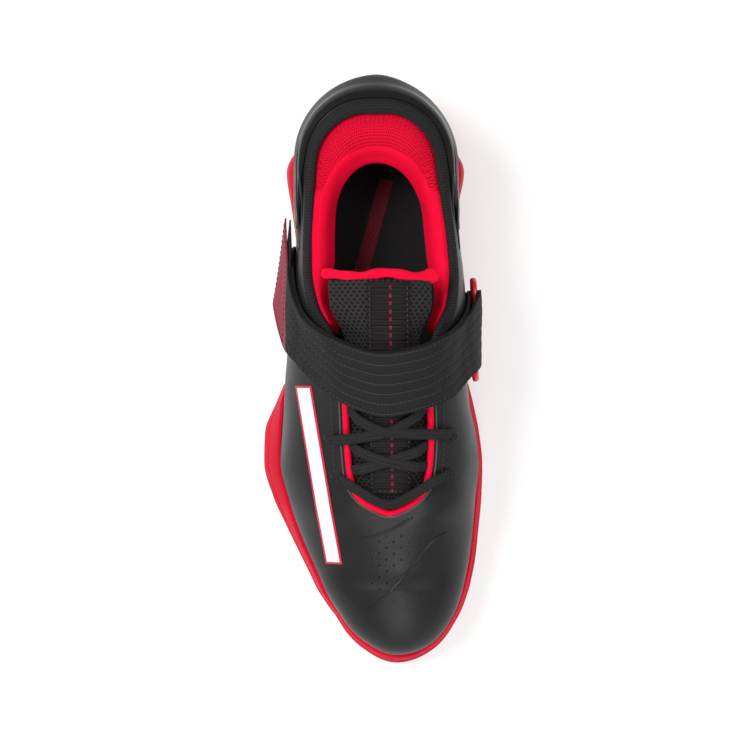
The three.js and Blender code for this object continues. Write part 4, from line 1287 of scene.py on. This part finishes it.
TAPE_X = 0.0965 * BALL_WIDTH


def tape_point(y, t, lift):
    x = TAPE_X + t * TAPE_WIDTH / 2
    low, high = -1.0, 1.0
    for _ in range(18):
        middle = (low + high) / 2
        if tongue_point(y, middle).x < x:
            low = middle
        else:
            high = middle
    return tongue_point(y, low, -tongue_wave(y, low)) + Vector((0, 0, lift))


def make_tape():
    def point(y, t):
        rib = 0.3 * math.sin(2 * math.pi * y / 2.6) if y > 14 else 0.0
        return tape_point(y, t, 1.05 + rib)

    piece = panel(
        "tongue_tape_band", span(TONGUE_LOW_Y + 6, TONGUE_TOP_Y - 1, 240), span(-1, 1, 10), point,
        (98, TAPE_WIDTH), TAPE, 0.2, steps=(OUTWARD, MERGE), offset=0.0,
    )
    return finished(piece, TAPE_CLOTH, "tape_ribbed", ("tongue_tape",))


# Laces: lateral place and w, middle place, medial place and w, with places as shares of LENGTH

LACE_LIFT = 2.6
LACE_REST_W = 0.58
LACES = {
    "lace_bar_toe": ((-0.176, -0.575, -0.216, -0.166, 0.66),),
    "lace_crossings": (
        (-0.165, -0.42, -0.146, -0.123, 0.42),
        (-0.121, -0.42, -0.146, -0.158, 0.42),
        (-0.113, -0.6, -0.097, -0.058, 0.42),
        (-0.063, -0.42, -0.096, -0.102, 0.66),
        (-0.056, -0.42, -0.034, -0.01, 0.42),
        (-0.01, -0.42, -0.034, -0.054, 0.42),
    ),
}
# Place along the shoe, lateral w, medial w
EYELETS = ((-0.171, -0.575, 0.66), (-0.1075, -0.6, 0.66))


def lace_rows(row, raised):
    lateral_y, lateral_w, middle_y, medial_y, medial_w = row
    y_at = smooth([lateral_w, 0, medial_w], [lateral_y, middle_y, medial_y])
    spots = []
    for w in span(lateral_w, medial_w, 48):
        end = abs(lateral_w if w < 0 else medial_w)
        lift = mix(raised, CLEAR + LACE, ease(abs(w), ARC_V, max(end, LACE_REST_W)))
        if end < ARC_V:
            lift -= 3.2 * ease(abs(w), end - 0.14, end)
        else:
            lift -= 2.4 * ease(abs(w), end - 0.09, end)
        spots.append(spot_over(y_at(w) * LENGTH, w, lift))
    return frames(spots)


def make_laces():
    for node, rows in LACES.items():
        strips = []
        for i, row in enumerate(rows):
            path = lace_rows(row, LACE_LIFT + 0.35 * (i % 2))
            strips.append(swept(f"{node}_{i}", path, LACE_WIDTH / 2, 0.75, oval(16, 0.6)))
        piece = joined(f"{node}_braid", strips)
        finished(piece, LACE_BRAID, "lace_braid", (node,))


def make_eyelets():
    """Punched eyelets: a pressed ring and a dark hole, on both sides of the throat."""
    rings, holes = [], []
    for share, *sides in EYELETS:
        for w in sides:
            y = share * LENGTH
            spot = turned(over(y, w, 0.1), Vector((0, 1, 0)), out_of(y, w))
            deselect()
            bpy.ops.mesh.primitive_torus_add(
                major_radius=2.2 * MM, minor_radius=0.35 * MM, major_segments=28, minor_segments=8
            )
            rings.append(bpy.context.object)
            rings[-1].data.transform(spot)
            deselect()
            bpy.ops.mesh.primitive_cylinder_add(vertices=28, radius=2.05 * MM, depth=0.5 * MM)
            holes.append(bpy.context.object)
            holes[-1].data.transform(spot)
    finished(joined("eyelet_rings", rings), UPPER, "upper_skin")
    hole = plain_finish("eyelet_shadow", (0.002, 0.002, 0.002), 0.9)
    finished(joined("eyelet_holes", holes), hole, "upper_skin")


# Instep strap: w, rear and front edges as shares of LENGTH

STRAP_COLUMNS = ("w", "rear", "front")
STRAP_ROWS = (
    (-1.36, 0.213, 0.068),
    (-1.2, 0.207, 0.06),
    (-0.9, 0.165, 0.028),
    (-0.6, 0.098, -0.02),
    (-0.3, 0.054, -0.05),
    (0, 0.04, -0.063),
    (0.3, 0.048, -0.054),
    (0.6, 0.074, -0.038),
    (0.85, 0.112, -0.008),
    (1.08, 0.136, 0.012),
)
BAR_W = 1.08
STRAP_LIFT = 0.8
BAR_LIFT = STRAP_LIFT + STRAP + RING_RADIUS + CLEAR
STRAP_EDGE = columns(STRAP_COLUMNS, STRAP_ROWS, lambda row: row[0])
LACE_TOP = LACE_LIFT + 0.5 + LACE / 2
FREE_END_W = -0.98
CHANNELS = 6
CHANNEL_DEPTH = 0.3
HEM = 0.04
# Cross folds: w, lean across the strap, depth
STRAP_FOLDS = ((-0.74, 0.18, 0.3), (-0.46, -0.12, 0.18), (0.52, 0.1, 0.15), (0.8, -0.16, 0.25))


def inner_lift(w):
    return mix(LACE_TOP + 2 * CLEAR, STRAP_LIFT, ease(abs(w), 0.4, 0.75))


def outer_lift(w):
    rest = inner_lift(w) + STRAP + CLEAR
    return mix(rest, BAR_LIFT + RING_RADIUS + CLEAR, ease(w, 0.7, BAR_W))


def strap_y(w, t):
    return mix(STRAP_EDGE["front"](w), STRAP_EDGE["rear"](w), t) * LENGTH


def channel(t):
    """Sewn channels along the strap: a groove on each line, padded between."""
    if t < HEM or t > 1 - HEM:
        return 0.0
    near = abs(((t - HEM) / (1 - 2 * HEM) * CHANNELS + 0.5) % 1.0 - 0.5)
    return -CHANNEL_DEPTH * bell(near, 0, 0.1) + 0.12 * near


def strap_crease(w, t):
    """Cross folds where the strap turns over the instep's sides."""
    fold = 0.0
    for at_w, lean, depth in STRAP_FOLDS:
        away = w - at_w - lean * (t - 0.5)
        fold += depth * (0.5 * bell(away, 0.07, 0.04) - bell(away, 0, 0.035))
    return fold


def fold_point(w, y, turn, thickness, down=1):
    """Point on a turn round the ring's bar, from below (0) to above (pi)."""
    radius = RING_RADIUS + CLEAR + thickness / 2
    centre = over(y, w, BAR_LIFT)
    along = (over(y, w + 0.02, BAR_LIFT) - over(y, w - 0.02, BAR_LIFT)).normalized()
    return centre - out_of(y, w) * (math.cos(turn) * radius) + along * (math.sin(turn) * radius * down)


def make_strap():
    mid = STRAP / 2
    path = [("up", w) for w in span(STRAP_ROWS[0][0], BAR_W, 100)]
    path += [("turn", a) for a in span(0, math.pi, 14)[1:-1]]
    path += [("back", w) for w in span(BAR_W, FREE_END_W - 0.012, 130)]
    rows = [0.0, 0.02, 0.04] + span(0.04, 0.96, 54)[1:] + [0.98, 1.0]

    def point(stage, t):
        kind, value = stage
        if kind == "up":
            return over(strap_y(value, t), value, inner_lift(value) + mid)
        if kind == "turn":
            return fold_point(BAR_W, strap_y(BAR_W, t), value, STRAP)
        fade = 1 - ease(value, 0.9, BAR_W)
        lift = outer_lift(value) + mid + channel(t) + strap_crease(value, t) * fade
        return over(strap_y(value, t), value, lift)

    piece = panel("strap_band", path, rows, point, (260, 40), STRAP, 0.4, steps=(MERGE,), offset=0.0)
    return finished(piece, WEBBING, "strap_webbing", ("instep_strap",), angle=45)


def strap_stitching():
    """Thread along the strap's channels and edges."""
    lines = []
    for k in range(CHANNELS + 1):
        across = mix(HEM, 1 - HEM, k / CHANNELS)
        edge = CHANNEL_DEPTH - 0.05 if k else 0.1

        def line(t, across=across, edge=edge):
            w = mix(-0.95, 1.0, t)
            return spot_over(strap_y(w, across), w, outer_lift(w) + STRAP - edge + strap_crease(w, across))

        lines.append(line)
    return stitches("strap_stitches", lines, "strap_webbing", 2.6, 1.9)


TAB_FLARE = 5.5
TAB_SWEEP = 0.052
TAB_END_W = -1.2
# Seams round the tab: shares of its run and of its width, from and to
TAB_SEAMS = (
    (0.12, 0.12, HEM, 1 - HEM), (0.12, 0.9, HEM, HEM), (0.12, 0.9, 1 - HEM, 1 - HEM), (0.9, 0.9, HEM, 1 - HEM),
)


def tab_swing(w):
    return ease(-w, -FREE_END_W, -TAB_END_W)


def tab_point(w, t, extra):
    swing = tab_swing(w)
    lift = outer_lift(FREE_END_W) + TAB_FLARE * swing * mix(1, 0.35, t) + extra
    reach = mix(STRAP_EDGE["front"](w), STRAP_EDGE["rear"](w), t) + TAB_SWEEP * swing
    return over(reach * LENGTH, w, lift)


def make_tab():
    ws = span(FREE_END_W + 0.03, TAB_END_W, 30)
    face = panel(
        "strap_tab_face", ws, span(0, 1, 40), lambda w, t: tab_point(w, t, STRAP * 0.8), (18, 60),
        0.9, 0.3, steps=(MERGE,), offset=0.0,
    )
    finished(face, TAB_FACE, "strap_tab_face", ("strap_tab",))

    def pile_point(w, t):
        swing = tab_swing(w)
        lift = outer_lift(FREE_END_W) + TAB_FLARE * swing * mix(0.7, 0.15, t)
        front = STRAP_EDGE["front"](w) + TAB_SWEEP * swing
        rear = STRAP_EDGE["rear"](w) + TAB_SWEEP * mix(0.7, 0.95, swing)
        return over(mix(front, rear, t) * LENGTH, w, lift)

    pile = panel(
        "strap_loop_pile", ws, span(0.03, 1, 40), pile_point, (18, 58), 0.9, 0.3,
        steps=(MERGE,), offset=0.0,
    )
    finished(pile, FUZZ, "strap_webbing")
    lines = []
    for w0, w1, t0, t1 in TAB_SEAMS:
        def line(t, w0=w0, w1=w1, t0=t0, t1=t1):
            w = mix(FREE_END_W, TAB_END_W, mix(w0, w1, t))
            across = mix(t0, t1, t)
            return tab_point(w, across, STRAP * 0.8 + 0.55), out_of(strap_y(w, across), w)

        lines.append(line)
    return stitches("tab_stitches", lines, "strap_tab_face", 2.6, 1.9)


# Ring and its anchor

LOWER_BAR_W = 1.3
RING_REAR = 0.152
RING_FRONT = -0.012
RING_CORNER = 0.016
RING_CORNER_W = 0.07


def make_ring():
    path = []
    corners = (
        (RING_REAR, BAR_W, -1, 1, 0.0),
        (RING_FRONT, BAR_W, 1, 1, 0.5),
        (RING_FRONT, LOWER_BAR_W, 1, -1, 1.0),
        (RING_REAR, LOWER_BAR_W, -1, -1, 1.5),
    )
    for y, w, in_y, in_w, start in corners:
        centre_y, centre_w = y + in_y * RING_CORNER, w + in_w * RING_CORNER_W
        for a in span(start * math.pi, (start + 0.5) * math.pi, 8):
            path.append((centre_y + RING_CORNER * math.cos(a), centre_w - RING_CORNER_W * math.sin(a)))
    dense = []
    for i, (y, w) in enumerate(path):
        next_y, next_w = path[(i + 1) % len(path)]
        count = max(1, round(math.hypot((next_y - y) * LENGTH, (next_w - w) * 70) / 2.5))
        dense += [(mix(y, next_y, k / count), mix(w, next_w, k / count)) for k in range(count)]
    rows = frames([spot_over(y * LENGTH, w, BAR_LIFT) for y, w in dense], closed=True)
    piece = swept("strap_ring_bar", rows, RING_RADIUS, RING_RADIUS, oval(14, 0.85), closed=True)
    return finished(piece, RING, "ring_plastic", ("strap_ring",))


ANCHOR_REAR = 0.135
ANCHOR_FRONT = 0.02
ANCHOR_END_W = 1.46
ANCHOR_SEAM_W = 1.39


def anchor_y(t):
    return mix(ANCHOR_FRONT, ANCHOR_REAR, t) * LENGTH


def make_anchor():
    inner = BAR_LIFT - RING_RADIUS - CLEAR
    outer = BAR_LIFT + RING_RADIUS + CLEAR
    mid = ANCHOR / 2
    path = [("up", w) for w in span(ANCHOR_END_W, LOWER_BAR_W, 16)]
    path += [("turn", a) for a in span(0, math.pi, 12)[1:-1]]
    path += [("down", w) for w in span(LOWER_BAR_W, ANCHOR_END_W - 0.02, 16)]

    def point(stage, t):
        kind, value = stage
        y = anchor_y(t)
        if kind == "up":
            return over(y, value, inner - mid)
        if kind == "turn":
            return fold_point(LOWER_BAR_W, y, value, ANCHOR, down=-1)
        lift = mix(outer, inner + CLEAR, ease(value, LOWER_BAR_W, ANCHOR_END_W - 0.05))
        return over(y, value, lift + mid)

    piece = panel(
        "ring_anchor_loop", path, span(0, 1, 26), point, (40, 35), ANCHOR, 0.3, steps=(MERGE,),
        offset=0.0,
    )
    finished(piece, WEBBING, "strap_webbing", ("ring_anchor",))

    def line(t):
        return spot_over(anchor_y(mix(0.05, 0.95, t)), ANCHOR_SEAM_W, inner + CLEAR + 1.5)

    return stitches("anchor_stitches", [line], "strap_webbing", 2.4, 1.8)


# Sole

RIB = 1.0
SIDE_STEPS = (
    (0.3, 0.0), (0.34, RIB), (0.52, RIB), (0.56, 0.0), (0.72, 0.0), (0.76, RIB),
)
SPLIT_Y = -0.02 * LENGTH


def sole_rows(stepped):
    """Profile of the sole's body from the ridge below, up its side, to the ridge above."""
    side = SIDE_STEPS if stepped else ((0.3, 0.0), (0.33, 0.5), (0.36, 0.0), (0.8, 0.0))
    rows = ["ridge_low", "under", "low"] + list(side) + ["high"]
    return rows + [("seat", share) for share in (1.0, 0.66, 0.33, 0.0)] + ["foot", "ridge_high"]


def sole_point(q, row):
    p = place(q)
    z = ground(p.y + p.dy * p.sole) + OUTSOLE + CLEAR
    lip = lip_v(p)
    foot = p.belly - FEATHER_INSET
    if row == "ridge_low":
        return at(p, 0, ground(p.y) + OUTSOLE + CLEAR)
    if row == "under":
        return at(p, p.sole - 1, z)
    low = at(p, p.sole, z + 2)
    if row == "low":
        return low
    high = skin(q, lip, CLEAR + LIP)
    if row == "high":
        return high
    if row == "foot":
        return at(p, foot - CLEAR, feather(p.y + p.dy * foot) - CLEAR)
    if row == "ridge_high":
        return at(p, 0, feather(p.y) - CLEAR)
    if row[0] == "seat":
        return skin(q, lip * row[1], CLEAR)
    share, inset = row
    return low.lerp(high, share) - Vector((p.dx, p.dy, 0)) * inset


def cut_half(piece, y, keep_back):
    """Cuts a piece across the shoe and closes the cut."""
    plane = {"plane_co": (0, y * MM, 0), "plane_no": (0, 1, 0)}
    keep = {"clear_inner": keep_back, "clear_outer": not keep_back}
    edit(piece, ("bisect", {**plane, **keep, "use_fill": True}))


def make_sole():
    for name, stepped, y, keep_back, finish, slot, node in (
        ("midsole_foam", False, SPLIT_Y - CLEAR / 2, False, MIDSOLE, "midsole_foam", "midsole"),
        ("heel_wedge_shell", True, SPLIT_Y + CLEAR / 2, True, WEDGE, "heel_shell", "heel_wedge"),
    ):
        piece = laid(name, ROUND, sole_rows(stepped), sole_point, (2 * TRAVEL, 90), MERGE, OUTWARD)
        cut_half(piece, y, keep_back)
        soften(piece, 0.45, 2, 28)
        finished(piece, finish, slot, (node,))


OUTSOLE_BEVEL = 2.2
GROOVE_WIDTH = 2.6
GROOVE_DEPTH = 1.6
GROOVE_YAW = 0.16
GROOVES = 6
HEEL_GROOVES = 3


def outsole_point(q, row):
    p = place(q)
    z = ground(p.y + p.dy * p.sole)
    if row == "low":
        return at(p, 0, ground(p.y))
    if row == "high":
        return at(p, 0, ground(p.y) + OUTSOLE)
    inset, rise = row
    return at(p, p.sole - inset, z + rise)


def groove_cutter(y, yaw):
    deselect()
    bpy.ops.mesh.primitive_cube_add(size=1)
    cutter = bpy.context.object
    size = Vector((2 * BALL_WIDTH, GROOVE_WIDTH, 2 * GROOVE_WIDTH)) * MM
    centre = Vector((0, y, ground(y) + GROOVE_DEPTH - GROOVE_WIDTH)) * MM
    turn = Matrix.Rotation(yaw, 4, "Z")
    cutter.data.transform(Matrix.Translation(centre) @ turn @ Matrix.Diagonal(size).to_4x4())
    return cutter


def make_outsole():
    rows = ["low", (OUTSOLE_BEVEL + 0.8, 0.0), (1.6, 0.35), (0.9, OUTSOLE / 3), (0.5, OUTSOLE), "high"]
    piece = laid("outsole_tread", ROUND, rows, outsole_point, (2 * TRAVEL, 120), MERGE, OUTWARD)
    front = [(y, GROOVE_YAW) for y in span(-0.36 * LENGTH, -0.08 * LENGTH, GROOVES)[:-1]]
    back = [(y, 0.0) for y in span(0.2 * LENGTH, 0.42 * LENGTH, HEEL_GROOVES)[:-1]]
    cutters = joined("grooves", [groove_cutter(y, yaw) for y, yaw in front + back])
    modify(piece, "BOOLEAN", object=cutters, operation="DIFFERENCE", solver="EXACT")
    bpy.data.objects.remove(cutters)
    return finished(piece, TREAD, "outsole_rubber", ("outsole",))


# Insole

INSOLE_INSET = FEATHER_INSET + WALL + 1.2


def make_insole():
    def point(q, row):
        p = place(q)
        if row == "under":
            return at(p, 0, feather(p.y) + CLEAR)
        share, lift = row
        r = (p.belly - INSOLE_INSET) * share
        return at(p, r, feather(p.y + p.dy * r) + CLEAR + lift)

    rows = ["under", (0.97, 0.0), (1.0, INSOLE * 0.5), (1.0, INSOLE + 1.6), (0.985, INSOLE + 2.0)]
    rows += [(share, INSOLE + 2.0 * ease(share, 0.55, 0.97)) for share in span(0.96, 0, 20)]
    piece = laid("insole_sock", ROUND, rows, point, (2 * TRAVEL, 60), MERGE, OUTWARD)
    for loop, corner in zip(piece.data.loops, piece.data.uv_layers.active.data):
        corner.uv = piece.data.vertices[loop.vertex_index].co.xy
    return finished(piece, INSOLE_CLOTH, "insole_cloth", ("insole",))


# Sewn lines of the upper


def upper_stitching():
    lines = []
    for low_y, high_y, v in ((THROAT_Y + THROAT_ARC, 14.0, 0.93), (24.0, HEEL_Y, 0.955)):
        lines += [edge_line(side, low_y, high_y, v, 0.05) for side in (-1, 1)]

    def keeper(t):
        spot = tape_point(-60.4, mix(-0.92, 0.92, t), 1.5)
        return spot, Vector((0, -0.3, 1)).normalized()

    lines.append(keeper)
    for side in (-1, 1):
        def tape_line(t, side=side):
            y = mix(TONGUE_LOW_Y + 8, TONGUE_TOP_Y - 3, t)
            return tape_point(y, side * 0.9, 1.45), Vector((0, -0.35, 1)).normalized()

        lines.append(tape_line)
    return stitches("upper_stitches", lines, "upper_skin", 2.8, 2.0)


# Floor, light and camera


def make_stage():
    deselect()
    bpy.ops.mesh.primitive_plane_add(size=8)
    floor = bpy.context.object
    floor.name = "studio_floor"
    f = Finish("floor_pale", (0.42, 0.42, 0.42), 0.8)
    f.shader.inputs["Emission Color"].default_value = (1, 1, 1, 1)
    f.shader.inputs["Emission Strength"].default_value = 0.5
    floor.data.materials.append(f.material)


# Name, place, disk's width, watts
LAMPS = (
    ("key", (-1.0, 0.4, 1.8), 1.1, 46),
    ("fill", (1.1, 0.2, 1.5), 1.2, 12),
    ("front", (0.1, -1.4, 1.1), 0.7, 12),
)


def lamp(name, place_at, size, power):
    data = bpy.data.lights.new(name, "AREA")
    data.shape = "DISK"
    data.size = size
    data.energy = power
    light = bpy.data.objects.new(name, data)
    light.location = place_at
    aim = Vector((0, 0, 0.04)) - Vector(place_at)
    light.rotation_euler = aim.to_track_quat("-Z", "Y").to_euler()
    bpy.context.scene.collection.objects.link(light)


CAMERA_AT = Vector((0.0613, -0.00245, 2.0))
LOOK_AT = Vector((0.0, 0.0, 0.02))
LENS = 187.0


def make_camera():
    data = bpy.data.cameras.new("camera")
    data.lens = LENS
    data.sensor_width = 36.0
    camera = bpy.data.objects.new("camera", data)
    back = (CAMERA_AT - LOOK_AT).normalized()
    up = (Vector((0, 1, 0)) - back * back.y).normalized()
    right = up.cross(back)
    turn = Matrix((right, up, back)).transposed().to_4x4()
    turn.translation = CAMERA_AT
    camera.matrix_world = turn
    bpy.context.scene.collection.objects.link(camera)
    bpy.context.scene.camera = camera


def make_light():
    world = bpy.data.worlds.new("studio")
    world.use_nodes = True
    sky = world.node_tree.nodes["Background"].inputs
    sky["Color"].default_value = (1, 1, 1, 1)
    sky["Strength"].default_value = 0.5
    scene = bpy.context.scene
    scene.world = world
    scene.view_settings.view_transform = "Standard"
    scene.view_settings.look = "None"
    for light in LAMPS:
        lamp(*light)


for step in (
    make_stage, make_light, make_camera, make_upper, collar_trim, side_bands, make_counter, make_lining,
    make_piping, throat_edge, make_tongue, make_binding, make_tape, make_laces, make_eyelets, make_strap,
    strap_stitching, make_tab, make_ring, make_anchor, make_sole, make_outsole, make_insole, upper_stitching,
):
    step()
